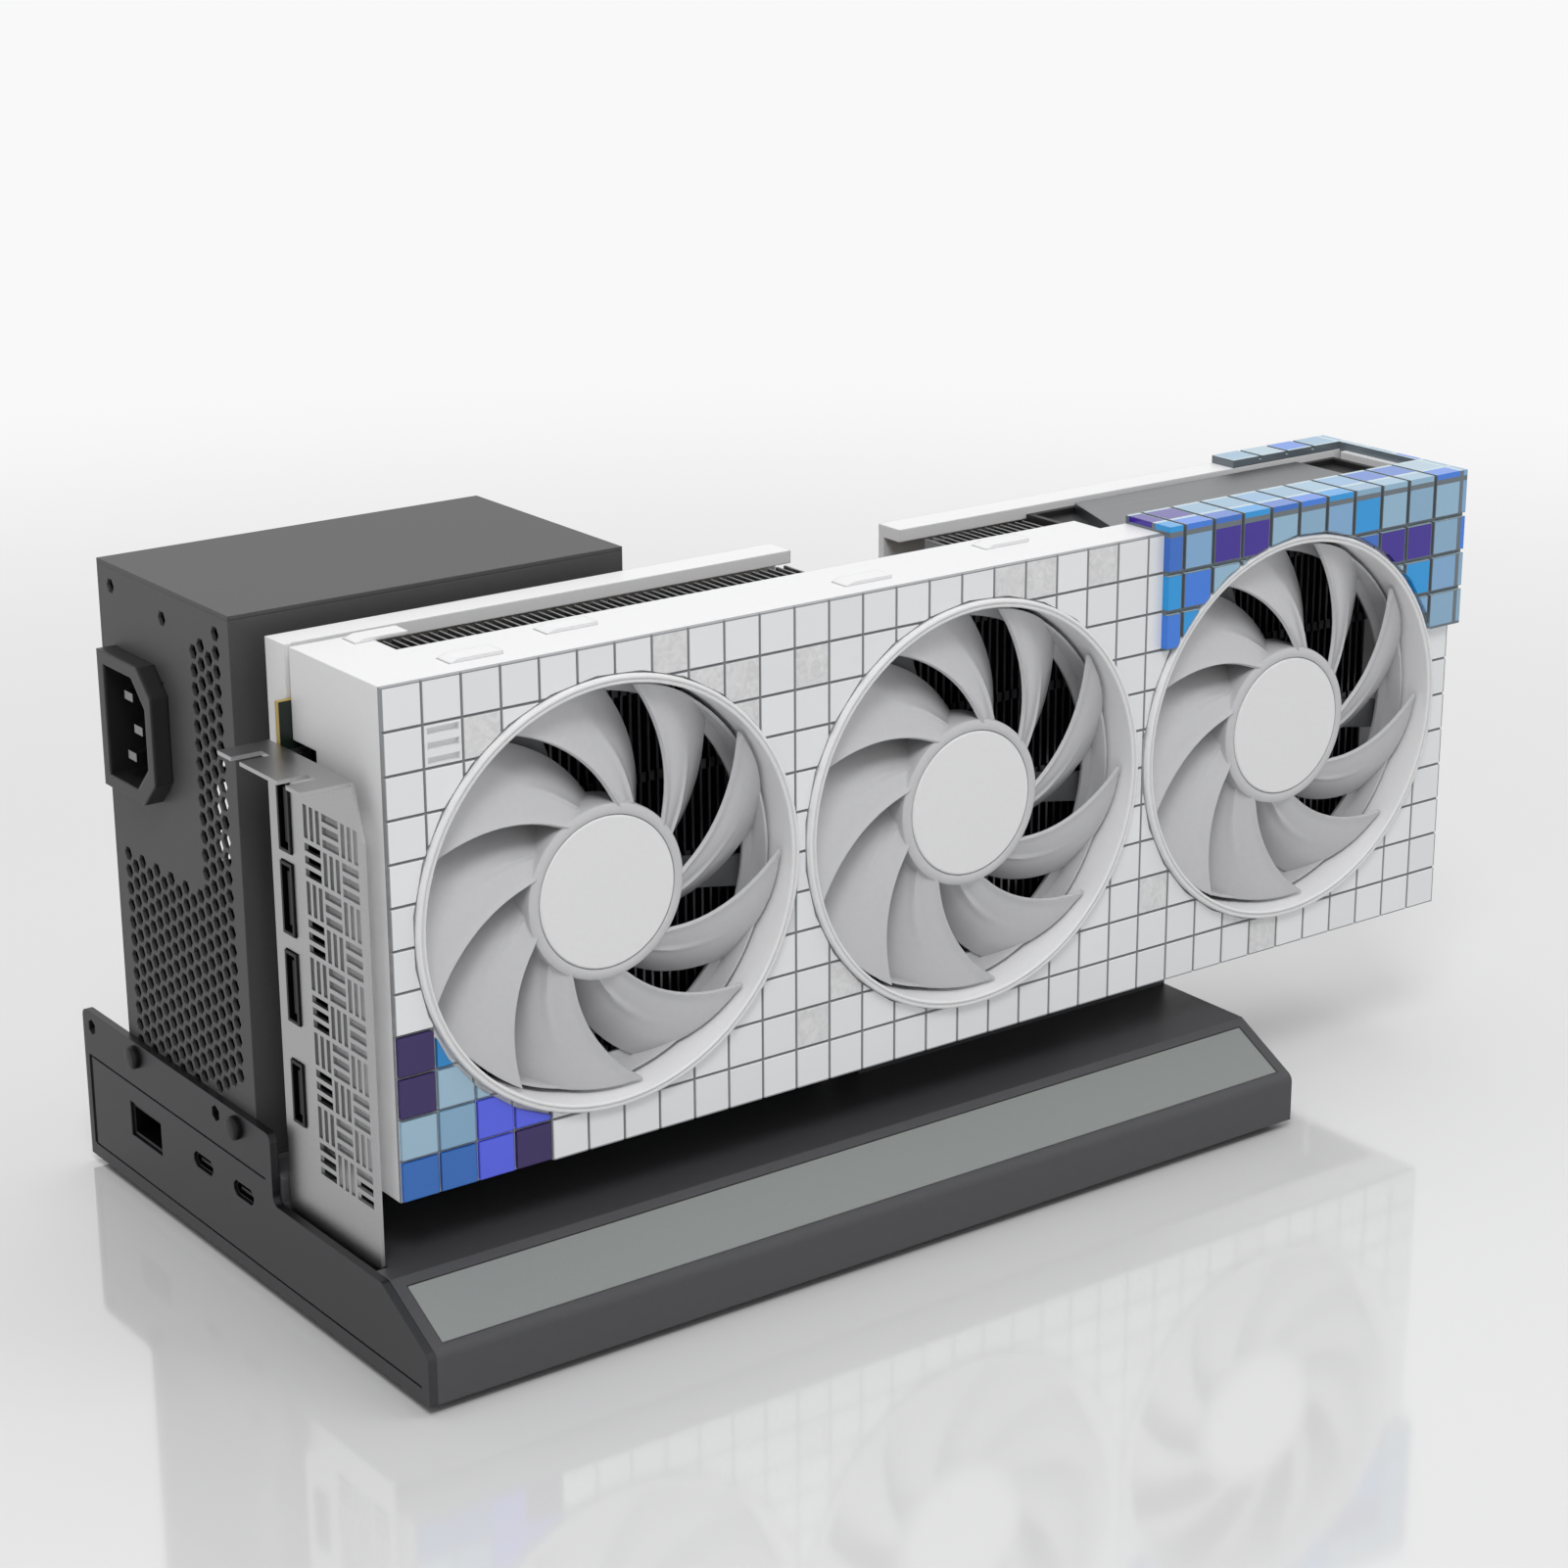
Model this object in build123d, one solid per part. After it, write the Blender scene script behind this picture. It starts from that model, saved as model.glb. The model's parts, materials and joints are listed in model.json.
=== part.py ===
from build123d import *
import os
from math import atan2, cos, radians, sin, tan

# Open graphics card dock: a low base with a slot, a standing power supply and a plugged-in card.
# Millimetres, X along the card, Y to the back, Z up, origin under the dock's centre.

# Dock shell
dock_length = 247.0
dock_depth = 161.0
plinth_height = 2.0
plinth_inset = 5.0
plinth_corner = 6.0
front_height = 11.5
floor_height = 21.4
slope_run = 18.5
deck_step = 6.9
shell_wall = 2.0
front_edge_radius = 2.5
deck_edge_radius = 1.5
shell_corner_radius = 3.0
block_length = 99.0
block_overhang = 18.0
boss_radius = 3.5
boss_inset_x = 11.5
boss_inset_front = 25.5
boss_inset_back = 10.5
vent_pitch = 14.0
vent_width = 8.5
vent_height = 2.4
vent_drop = 1.7
vent_margin = 12.0

# End plate
plate_thickness = 2.0
plate_height = 38.0
plate_corner = 2.0
plate_step_back = 1.0
groove_width = 0.6
groove_depth = 0.5
top_groove_height = 26.5
low_groove_height = 3.5
groove_margin = 3.0
large_hole_inset = 5.0
large_hole_spacing = 64.0
large_hole_radius = 2.0
slot_mark_width = 1.6

# Fasteners
screw_radius = 1.5
screw_head_radius = 2.8
screw_head_height = 1.6
screw_clearance = 0.1
screw_grip = 6.0

# Light strip
strip_margin = 3.0
strip_width = 15.6
strip_thickness = 1.6
strip_ledge = 1.5
strip_recess = 0.2
strip_clearance = 0.15
light_board_thickness = 1.2

# Mat under the power supply
mat_thickness = 1.0
mat_length = 112.0
mat_setback = 8.0
mat_edge = 3.0
mat_clearance = 0.2

# Dock circuit board
board_height = 13.35
board_thickness = 1.6
board_front_margin = 32.5
board_back_margin = 20.5
board_side_gap = 1.0
board_right_gap = 4.0
standoff_radius = 3.0
standoff_inset = 15.0

# Card slot and its latch
slot_from_left = 47.0
slot_length = 89.0
slot_width = 7.5
slot_height = 11.25
slot_groove = 2.4
slot_groove_depth = 8.8
slot_end_wall = 1.2
slot_key_offset = 14.0
slot_key_width = 1.8
slot_clearance = 0.4
slot_rib_count = 6
slot_rib_width = 1.0
slot_rib_depth = 0.4
slot_foot = 2.0
latch_ear = 1.6
latch_length = 8.5
latch_pin_radius = 1.0
latch_gap = 0.3
latch_pad = 1.6

# Sockets on the end plate
data_width = 15.4
data_height = 8.2
data_depth = 14.0
data_wall = 0.8
data_from_back = 31.8
data_tongue = 1.2
data_tongue_recess = 4.6
socket_clearance = 0.3
socket_recess = 0.6
small_width = 9.0
small_height = 3.3
small_wall = 0.35
pill_corner = 0.32
small_depth = 9.0
small_tongue = 0.7
small_centre_height = 19.1
small_near_share = 0.24
small_far_share = 0.6

# Power header on the dock board
header_length = 51.0
header_width = 9.6
header_height = 14.0
header_from_right = 92.0
header_from_back = 54.0
header_columns = 4
header_cell = 3.6
header_cell_depth = 8.0
header_clearance = 1.5

# Power supply
psu_depth = 100.0
psu_width = 63.5
psu_height = 125.0
psu_gap = 5.4
psu_sheet = 1.0
psu_hole_inset = 6.0
psu_bend_radius = 0.8
vent_hole_radius = 5.4
vent_hole_pitch = 14.2
vent_field_edge = 3.5
vent_strip_width = 18.0
vent_strip_top = 116.0
vent_field_top = 58.0
vent_field_low = 9.0
vent_field_cut = 22.0

# Mains inlet
inlet_width = 26.0
inlet_tall = 32.0
inlet_proud = 4.5
inlet_chamfer = 6.0
inlet_centre_y = 44.0
inlet_centre_z = 90.0
inlet_wall = 3.0
inlet_sleeve = 0.8
inlet_fit = 0.2
inlet_body_depth = 11.0
inlet_floor = 3.0
pin_thickness = 2.0
pin_breadth = 4.0
pin_spacing = 7.0
pin_offset = 4.0
pin_recess = 2.0
pin_tail = 2.0
pin_fit = 0.05

# Power supply fan
psu_fan_thickness = 15.0
psu_fan_wall = 2.0
psu_fan_gap = 4.0
psu_fan_clearance = 2.0
psu_tip_gap = 1.0
psu_fan_blades = 5
psu_fan_hub = 13.0
round_sides = 16
grille_slot = 8.0
grille_pitch = 11.6
grille_bar = 5.0

# Power supply inside
inner_board_gap = 5.0
inner_board_margin = 7.0
inner_board_front = 20.0
inner_post_radius = 2.5
transformer_length = 30.0
transformer_tall = 28.0
transformer_deep = 26.0
transformer_window = 0.7
transformer_yoke = 5.0
transformer_gap = 1.5
heatsink_thickness = 3.0
heatsink_deep = 28.0
heatsink_length = 56.0
heatsink_fin_count = 4
heatsink_fin_long = 5.0
heatsink_gap = 6.0
capacitor_radius = 8.0
capacitor_deep = 30.0
capacitor_spacing = 19.0
output_count = 5
output_length = 19.0
output_width = 9.0
output_depth = 13.0
output_wall = 2.3
output_proud = 1.5
output_pitch = 22.0

# Card body
card_from_front = 21.5
card_from_left = 7.7
card_length = 309.3
card_height = 113.3
card_depth = 49.0
card_above_edge = 11.3
tile_columns = 33
tile_rows = 12
tile_thickness = 1.4
joint_width = 0.9
joint_depth = 0.55
shroud_wall = 2.0
shroud_bottom_lip = 12.0
top_strip_depth = 21.6
top_block_length = 17.0
louvre_bars = 3
louvre_column = 1
louvre_row = 1
side_window_height = 88.0
side_window_low = 5.0
side_window_depth = 10.0

# Card circuit board
card_board_offset = 39.5
card_board_thickness = 1.6
card_board_length = 219.0
card_board_height = 113.0
card_board_lift = 0.1
finger_depth = 8.3
finger_end_gap = 1.4
finger_key_gap = 0.3
edge_lift = 1.0
contact_thickness = 0.15
contact_edge = 0.6
contact_tall = 5.5
chip_size = 38.0
chip_thickness = 2.0
chip_die_share = 0.6
chip_centre = 155.0
memory_length = 14.0
memory_width = 12.0
memory_thickness = 1.2
memory_gap = 5.0
socket_length = 26.0
socket_depth = 7.0
socket_tall = 14.0
socket_wall = 1.6
socket_over = 2.0

# Cooler
fin_pitch = 14.5
fin_thickness = 1.6
fin_depth = 13.5
fin_back = 2.0
fin_end_gap = 8.0
fin_low_gap = 3.0
fin_high_gap = 7.3
fin_front_gap = 0.3
fin_crest_gap = 2.3
fin_crest_tall = 18.0
fin_crest_back_gap = 1.0
fin_crest_end_gap = 3.0
pipe_radius = 3.0
pipe_count = 4
pipe_pitch = 9.0
pipe_end_gap = 14.0
pipe_clearance = 0.05
cold_plate_size = 56.0
cold_plate_gap = 4.1

# Card fans
fan_pitch = 100.4
fan_height = 57.6
fan_opening = 94.5
rim_width = 1.5
rim_proud = 1.2
rim_clearance = 0.2
rim_sides = 28
duct_depth = 12.0
fan_recess = 1.6
blade_count = 9
blade_gap = 1.0
blade_depth = 9.0
blade_thickness = 1.3
blade_camber = 1.2
blade_knee = 0.45
blade_angle = 30.0
blade_sweep = 38.0
blade_stations = 3
hub_radius = 20.0
hub_length = 10.0
hub_wall = 1.6
shaft_radius = 1.5
shaft_clearance = 0.05
mount_thickness = 2.0
mount_radius = 18.5
arm_width = 7.0
arm_angles = (10.0, 130.0, 250.0)
hub_back_gap = 0.8

# Corner cap and accent tiles
cap_columns = 10.5
cap_rows_left = 3
cap_rows_right = 4
cap_wall = 2.0
cap_groove_width = 1.0
cap_groove_depth = 0.9
cap_back_columns = 4
cap_fan_clearance = 0.6
accent_columns = 4
accent_rows = 4
accent_gap = 0.8
accent_pocket = 1.0

# Top bar
bar_length = 84.0
bar_from_left = 208.0
bar_height = 2.6
bar_slant = 9.0
bar_margin = 1.5
bar_frame_height = 5.5
bar_frame_lead = 5.0
bar_fit = 0.2

# Back plate
back_thickness = 2.0
rail_depth = 8.0
rail_height = 3.0
rail_gap_start = 132.0
rail_gap_length = 32.0
rail_gap_drop = 12.0
back_return = 2.0
back_slot_count = 7
back_slot_pitch = 11.5
back_slot_width = 5.5
back_slot_length = 60.0
back_slot_inset = 20.0
back_screw_columns = 2
back_screw_inset = 12.0

# Slot bracket and sockets on it
bracket_thickness = 0.9
bracket_gap = 3.2
bracket_width = 40.0
bracket_back_offset = 2.7
bracket_tall = 120.0
bracket_above_edge = 103.8
bracket_slit_clearance = 0.5
tab_tall = 10.7
tab_width = 7.6
tab_taper = 0.8
front_tab_offset = 7.4
rear_tab_offset = 4.2
bracket_corner = 4.0
bracket_corner_tall = 12.0
flange_length = 11.4
flange_notch_radius = 1.9
flange_notch_inset = 8.0
weave_columns = 3
weave_rows = 4
weave_cell = 8.0
weave_cell_tall = 22.5
weave_low = 25.0
weave_edge = 1.6
weave_slot = 1.9
weave_inset = 1.1
display_tall = 16.4
display_deep = 5.0
display_depth = 16.0
display_wall = 0.7
display_tongue = 1.2
display_heights = (50.0, 70.3, 89.1)
video_tall = 14.6
video_height = 25.5
port_clearance = 0.25
port_proud = 0.5
lug_tall = 4.5
lug_length = 7.0
lug_heights = (37.3, 100.3)
lug_screw_radius = 1.0
lug_screw_head = 1.9


# Lines and planes that pieces share
x_left = -dock_length / 2
x_right = dock_length / 2
x_in = x_left + plate_thickness
y_front = -dock_depth / 2
y_back = dock_depth / 2
z_body = plinth_height
z_front = z_body + front_height
z_floor = z_body + floor_height
z_deck = z_floor + deck_step
y_slope = y_front + slope_run
slope_angle = atan2(floor_height - front_height, slope_run)

card_x = (x_left + card_from_left, x_left + card_from_left + card_length)
card_y = (y_front + card_from_front, y_front + card_from_front + card_depth)
card_board_y = card_y[0] + card_board_offset
board_face = card_board_y - card_board_thickness / 2
board_back_face = card_board_y + card_board_thickness / 2

z_board = z_body + board_height
z_slot = z_board + slot_height
z_edge = z_slot + card_board_lift
slot_x = (x_left + slot_from_left, x_left + slot_from_left + slot_length)
slot_y = (card_board_y - slot_width / 2, card_board_y + slot_width / 2)
deck_front = slot_y[1] + slot_clearance
block_left = x_right - block_length
block_front = deck_front - block_overhang
latch_pivot_x = slot_x[1] + latch_pin_radius + latch_ear
latch_pivot_z = z_floor - latch_pin_radius

card_z = (z_edge + card_above_edge, z_edge + card_above_edge + card_height)
tile_width = card_length / tile_columns
tile_tall = card_height / tile_rows
face_back = card_y[0] + tile_thickness
wall_back = face_back + shroud_wall
fan_z = card_z[0] + fan_height
fan_middle_x = (card_x[0] + card_x[1]) / 2
fan_centres = {
    "left": fan_middle_x - fan_pitch,
    "middle": fan_middle_x,
    "right": fan_middle_x + fan_pitch,
}
rim_radius = fan_opening / 2 + rim_width
duct_back = face_back + duct_depth
narrow_back = duct_back + bar_fit
mount_back = duct_back + mount_thickness
fin_front = mount_back + fin_front_gap
fin_rear = fin_front + fin_depth
bar_left = card_x[0] + bar_from_left
rail_front = card_y[1] - rail_depth
chip_face = board_face - chip_thickness
socket_top = z_edge + card_board_height + socket_over
socket_low = socket_top - socket_tall
chip_x = card_x[0] + chip_centre
chip_z = socket_low - cold_plate_gap - cold_plate_size / 2
rail_gap = (card_x[0] + rail_gap_start, card_x[0] + rail_gap_start + rail_gap_length)
frame_left = bar_left - bar_frame_lead - bar_fit
cap_left = card_x[1] - cap_columns * tile_width
cap_low = card_z[1] - cap_rows_left * tile_tall

psu_x = (x_in, x_in + psu_depth)
psu_y = (card_y[1] + psu_gap, card_y[1] + psu_gap + psu_width)
psu_z = (z_deck, z_deck + psu_height)
psu_fan_span = (
    psu_x[0] + inlet_body_depth + pin_tail + psu_fan_clearance,
    psu_x[1] - psu_sheet - psu_fan_gap,
)
psu_fan_size = psu_fan_span[1] - psu_fan_span[0]
psu_fan_bore = psu_fan_size / 2 - psu_fan_wall
psu_fan_x = (psu_fan_span[0] + psu_fan_span[1]) / 2
psu_fan_z = (psu_z[0] + psu_z[1]) / 2
psu_fan_y = (psu_y[1] - psu_sheet - psu_fan_thickness, psu_y[1] - psu_sheet)

bracket_x = (card_x[0] - bracket_gap - bracket_thickness, card_x[0] - bracket_gap)
bracket_y = (
    board_back_face + bracket_back_offset - bracket_width,
    board_back_face + bracket_back_offset,
)
bracket_z = (z_edge + bracket_above_edge - bracket_tall, z_edge + bracket_above_edge)


# Plain shapes
def block(x, y, z):
    """Box between two limits along each axis."""
    limits = (x, y, z)
    size = [high - low for low, high in limits]
    centre = [(low + high) / 2 for low, high in limits]
    return Pos(*centre) * Box(*size)


def around(centre, size):
    """The two limits of a size set about a centre."""
    return (centre - size / 2, centre + size / 2)


def grown(limits, extra):
    """Limits moved apart by the same extra at both ends."""
    return (limits[0] - extra, limits[1] + extra)


def bar(axis, first, second, face, limits):
    """Face carried along an axis letter; first and second are its other two coordinates in order."""
    middle = (limits[0] + limits[1]) / 2
    place = {
        "x": Pos(middle, first, second) * Rot(0, 90, 0),
        "y": Pos(first, middle, second) * Rot(90, 0, 0),
        "z": Pos(first, second, middle),
    }[axis]
    return place * extrude(face, amount=(limits[1] - limits[0]) / 2, both=True)


def rod(axis, first, second, radius, limits):
    """Round bar along an axis letter."""
    return bar(axis, first, second, Circle(radius), limits)


def stud(axis, first, second, radius, limits, sides=6):
    """Bar with flat sides for small fasteners, posts and their holes."""
    return bar(axis, first, second, RegularPolygon(radius, sides), limits)


def outline(points):
    """Flat face inside straight lines through the points."""
    return make_face(Polyline(*points, close=True))


def side_prism(face, x):
    """Face drawn in Y and Z, carried between two X limits."""
    return extrude(Plane.YZ.offset(x[0]) * face, amount=x[1] - x[0])


def front_prism(face, y):
    """Face drawn in X and Z, carried between two Y limits."""
    return extrude(Plane.XZ.offset(-y[1]) * face, amount=y[1] - y[0])


def plan_prism(face, z):
    """Face drawn in X and Y, carried between two Z limits."""
    return extrude(Plane.XY.offset(z[0]) * face, amount=z[1] - z[0])


def screws(axis, places, seat, direction, grip=screw_grip, shank_radius=screw_radius, head=screw_head_radius):
    """Group of cap screws whose heads sit on a face and whose shanks run on in one direction."""
    group = []
    for first, second in places:
        above = sorted((seat, seat - direction * screw_head_height))
        below = sorted((seat, seat + direction * grip))
        screw = stud(axis, first, second, head, above)
        group.append(screw + stud(axis, first, second, shank_radius, below))
    return joined(group)


def joined(parts):
    """Several separate solids kept as one group."""
    return Compound(children=[solid for part in parts for solid in part.solids()])


# Dock
def shell_section(wall):
    """Dock cross-section in Y and Z, drawn in by a wall and left open below."""
    low = z_body if wall == 0 else z_body - shell_wall
    drop = wall / cos(slope_angle)
    front_top = z_front + wall * tan(slope_angle) - drop
    slope_top = y_front + (z_floor - wall + drop - z_front) / tan(slope_angle)
    return outline(
        [
            (y_front + wall, low),
            (y_front + wall, front_top),
            (slope_top, z_floor - wall),
            (y_back - wall, z_floor - wall),
            (y_back - wall, low),
        ]
    )


def deck_plan(wall):
    """L-shaped plan of the raised deck, drawn in by a wall and run out past the open left end."""
    left = x_in - (shell_wall if wall else 0)
    return outline(
        [
            (left, deck_front + wall),
            (block_left + wall, deck_front + wall),
            (block_left + wall, block_front + wall),
            (x_right - wall, block_front + wall),
            (x_right - wall, y_back - wall),
            (left, y_back - wall),
        ]
    )


def boss_places():
    """Plan positions of the screw bosses under the shell."""
    columns = (x_left + boss_inset_x, x_right - boss_inset_x)
    rows = (y_front + boss_inset_front, y_back - boss_inset_back)
    return [(x, y) for x in columns for y in rows]


slope_middle = ((y_front + y_slope) / 2, (z_front + z_floor) / 2)
slope_plane = Plane(
    origin=(0, slope_middle[0], slope_middle[1]),
    x_dir=(1, 0, 0),
    z_dir=(0, -sin(slope_angle), cos(slope_angle)),
)


def slope_slab(x, width, top, bottom):
    """Slab lying in the front slope, between two depths below its surface."""
    middle = Pos((x[0] + x[1]) / 2, 0, -(top + bottom) / 2)
    return slope_plane * middle * Box(x[1] - x[0], width, bottom - top)


strip_x = (x_in + strip_margin, x_right - strip_margin)
mat_x = (x_in + mat_edge, x_in + mat_edge + mat_length)
mat_y = (deck_front + mat_setback, y_back - mat_edge)
header_x = (x_right - header_from_right, x_right - header_from_right + header_length)
header_y = (y_back - header_from_back, y_back - header_from_back + header_width)


def slit_y():
    """Y limits of the opening that takes the bracket's tabs."""
    return grown(bracket_y, bracket_slit_clearance)


def base_shell():
    """Moulded shell, open below, with the strip's ledge, the mat's pocket and the slot's opening."""
    body = side_prism(shell_section(0), (x_in, x_right))
    body += plan_prism(deck_plan(0), (z_floor - shell_wall, z_deck))
    front_edge = [e for e in body.edges().filter_by(Axis.X) if abs(e.center().Z - z_front) < 0.01]
    body = fillet(front_edge, front_edge_radius)
    rims = [e for e in body.edges() if abs(e.center().Z - z_deck) < 0.01]
    rims = [e for e in rims if abs(e.center().X - x_in) > 0.01]
    body = fillet(rims, deck_edge_radius)
    hollow = side_prism(shell_section(shell_wall), (x_in - shell_wall, x_right - shell_wall))
    hollow += plan_prism(deck_plan(shell_wall), (z_body, z_deck - shell_wall))
    bosses = [stud("z", x, y, boss_radius, (z_body, z_deck)) & body for x, y in boss_places()]
    shell = body - hollow + bosses

    floor_cut = (z_floor - 2 * shell_wall, z_floor + shell_wall)
    deck_cut = (z_deck - 2 * shell_wall, z_deck + shell_wall)
    latch_end = latch_pivot_x + latch_length
    pocket_width = strip_width + 2 * strip_clearance
    pocket_depth = strip_thickness + strip_recess
    cuts = [
        slope_slab(grown(strip_x, strip_clearance), pocket_width, -1, pocket_depth),
        slope_slab(grown(strip_x, -strip_ledge), strip_width - 2 * strip_ledge, 0, 2 * shell_wall),
        block(grown(mat_x, mat_clearance), grown(mat_y, mat_clearance), (z_deck - mat_thickness, z_deck + 1)),
        block((slot_x[0] - slot_clearance, latch_end), grown(slot_y, slot_clearance), floor_cut),
        block((x_in - 1, bracket_x[1] + bracket_slit_clearance), slit_y(), floor_cut),
        block(grown(header_x, header_clearance), grown(header_y, header_clearance), deck_cut),
    ]
    start = x_in + vent_margin
    count = int((block_left - vent_margin - start) / vent_pitch)
    vent_z = (z_deck - vent_drop - vent_height, z_deck - vent_drop)
    for i in range(count):
        x = start + i * vent_pitch
        cuts.append(block((x, x + vent_width), around(deck_front + shell_wall / 2, 2 * shell_wall), vent_z))
    hole = screw_radius + screw_clearance
    for x, y in boss_places():
        cuts.append(stud("z", x, y, hole, (z_body - 1, z_body + screw_grip)))
    return shell - cuts


def pill(y, z, width, height, x):
    """Flat bar along X with cut corners."""
    face = Rectangle(width, height)
    return side_prism(Pos(y, z) * chamfer(face.vertices(), height * pill_corner), x)


def psu_hole_places():
    """Y and Z of the power supply's two fixing holes in the end plate."""
    z = psu_z[0] + psu_hole_inset
    return [(psu_y[0] + psu_hole_inset, z), (psu_y[1] - psu_hole_inset, z)]


data_z = (z_board, z_board + data_height)
data_centre_y = y_back - data_from_back


def small_socket_centres():
    """Y and Z of the small sockets, shared out between the deck wall and the data socket."""
    near = deck_front + shell_wall
    far = data_centre_y - data_width / 2
    shares = (small_far_share, small_near_share)
    return [(near + share * (far - near), z_body + small_centre_height) for share in shares]


def end_plate():
    """Flat plate that closes the left end and carries the sockets and the power supply."""
    step = deck_front + plate_step_back
    face = outline(
        [
            (y_front, z_body),
            (y_front, z_front),
            (y_slope, z_floor),
            (step, z_floor),
            (step, z_body + plate_height),
            (y_back, z_body + plate_height),
            (y_back, z_body),
        ]
    )
    face = fillet([v for v in face.vertices() if v.Y > z_front - 0.01], plate_corner)
    plate = side_prism(face, (x_left, x_in))
    through = grown((x_left, x_in), 1)
    score = (x_left - 1, x_left + groove_depth)
    wide = data_width + 2 * socket_clearance
    cuts = [block(through, around(data_centre_y, wide), grown(data_z, socket_clearance))]
    for y, z in small_socket_centres():
        extra = 2 * socket_clearance
        cuts.append(pill(y, z, small_width + extra, small_height + extra, through))
    for y, z in psu_hole_places():
        cuts.append(stud("x", y, z, screw_radius + screw_clearance, through))
    for y in (y_back - large_hole_inset, y_back - large_hole_inset - large_hole_spacing):
        cuts.append(stud("x", y, psu_z[0] + psu_hole_inset, large_hole_radius, through))
    top_z = z_body + top_groove_height
    low_z = z_body + low_groove_height
    cuts.append(block(score, (step + groove_margin, y_back - groove_margin), around(top_z, groove_width)))
    cuts.append(block(score, grown((y_front, y_back), -groove_margin), around(low_z, groove_width)))
    cuts.append(block(score, around(y_back - groove_margin, slot_mark_width), (low_z, top_z)))
    return plate - cuts


bottom_web = plinth_height - screw_head_height - screw_clearance


def bottom_plate():
    """Inset plate under the shell, bored for sunk screw heads."""
    plan = Rectangle(dock_length - 2 * plinth_inset, dock_depth - 2 * plinth_inset)
    plate = plan_prism(chamfer(plan.vertices(), plinth_corner), (0, plinth_height))
    cuts = []
    for x, y in boss_places():
        cuts.append(stud("z", x, y, screw_radius + screw_clearance, (-1, plinth_height + 1)))
        cuts.append(stud("z", x, y, screw_head_radius + screw_clearance, (-1, plinth_height - bottom_web)))
    return plate - cuts


def bottom_screws():
    """Screws from below into the shell's bosses."""
    return screws("z", boss_places(), plinth_height - bottom_web, 1, screw_grip - screw_clearance)


def light_strip():
    """Flush light guide in the front slope."""
    return slope_slab(strip_x, strip_width, strip_recess, strip_thickness + strip_recess)


def light_board():
    """Lamp board under the light guide's ledge."""
    return slope_slab(strip_x, strip_width, shell_wall, shell_wall + light_board_thickness)


def rest_mat():
    """Mat in the deck's pocket, flush with the deck."""
    return block(mat_x, mat_y, (z_deck - mat_thickness, z_deck))


board_x = (x_in + board_side_gap, x_right - shell_wall - board_right_gap)
board_y = (y_front + board_front_margin, y_back - board_back_margin)
board_z = (z_board - board_thickness, z_board)


def standoff_places():
    """Plan positions of the posts under the dock board."""
    columns = (board_x[0] + standoff_inset, board_x[1] - standoff_inset)
    rows = (board_y[0] + standoff_radius, board_y[1] - standoff_radius)
    return [(x, y) for x in columns for y in rows]


def dock_board():
    """Main board, notched clear of the bracket's tabs."""
    board = block(board_x, board_y, board_z)
    notch_x = (board_x[0] - 1, bracket_x[1] + bracket_slit_clearance)
    notch = block(notch_x, (board_y[0] - 1, slit_y()[1]), grown(board_z, 1))
    hole = screw_radius + screw_clearance
    return board - notch - [stud("z", x, y, hole, grown(board_z, 1)) for x, y in standoff_places()]


def board_standoffs():
    """Tapped posts between the bottom plate and the dock board."""
    hole = screw_radius + screw_clearance
    limits = (z_body, board_z[0])
    posts = [stud("z", x, y, standoff_radius, limits) for x, y in standoff_places()]
    bores = [stud("z", x, y, hole, (z_body + 1, board_z[0] + 1)) for x, y in standoff_places()]
    return joined([post - bore for post, bore in zip(posts, bores)])


def board_screws():
    """Screws that hold the dock board on its posts."""
    return screws("z", standoff_places(), z_board, -1)


def card_slot():
    """Edge connector with its key, ribbed side and two ears that carry the latch pin."""
    body = block(slot_x, slot_y, (z_board, z_slot))
    groove_z = (z_slot - slot_groove_depth, z_slot + 1)
    groove = block(grown(slot_x, -slot_end_wall), around(card_board_y, slot_groove), groove_z)
    key = block(around(slot_x[0] + slot_key_offset, slot_key_width), slot_y, (z_board, z_slot))
    body = body - groove + key
    pitch = slot_length / slot_rib_count
    rib_z = (z_board + slot_foot, z_slot - slot_foot)
    for i in range(slot_rib_count):
        rib_x = around(slot_x[0] + (i + 0.5) * pitch, pitch - slot_rib_width)
        body -= block(rib_x, (slot_y[0] - 1, slot_y[0] + slot_rib_depth), rib_z)
    ear_x = (slot_x[1], latch_pivot_x + latch_pin_radius + latch_ear)
    ear_z = (z_board, latch_pivot_z + latch_pin_radius)
    inner = slot_width / 2 - latch_ear
    for low, high in ((slot_y[0], card_board_y - inner), (card_board_y + inner, slot_y[1])):
        body += block(ear_x, (low, high), ear_z)
    pin = rod("y", latch_pivot_x, latch_pivot_z, latch_pin_radius - shaft_clearance, slot_y)
    return body + pin


def slot_latch():
    """Small lever on the slot's pin that keeps the card in."""
    inner = slot_width / 2 - latch_ear - latch_gap
    wide = (card_board_y - inner, card_board_y + inner)
    eye = stud("y", latch_pivot_x, latch_pivot_z, latch_pin_radius + 0.7 * latch_ear, wide, 8)
    arm_x = (latch_pivot_x, latch_pivot_x + latch_length - 2 * latch_gap)
    arm_top = latch_pivot_z + latch_pin_radius
    arm = block(arm_x, wide, (latch_pivot_z, arm_top))
    pad = block((arm_x[1] - latch_pad, arm_x[1]), wide, (latch_pivot_z, arm_top + 3 * latch_gap))
    return eye + arm + pad - rod("y", latch_pivot_x, latch_pivot_z, latch_pin_radius, grown(wide, 1))


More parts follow.
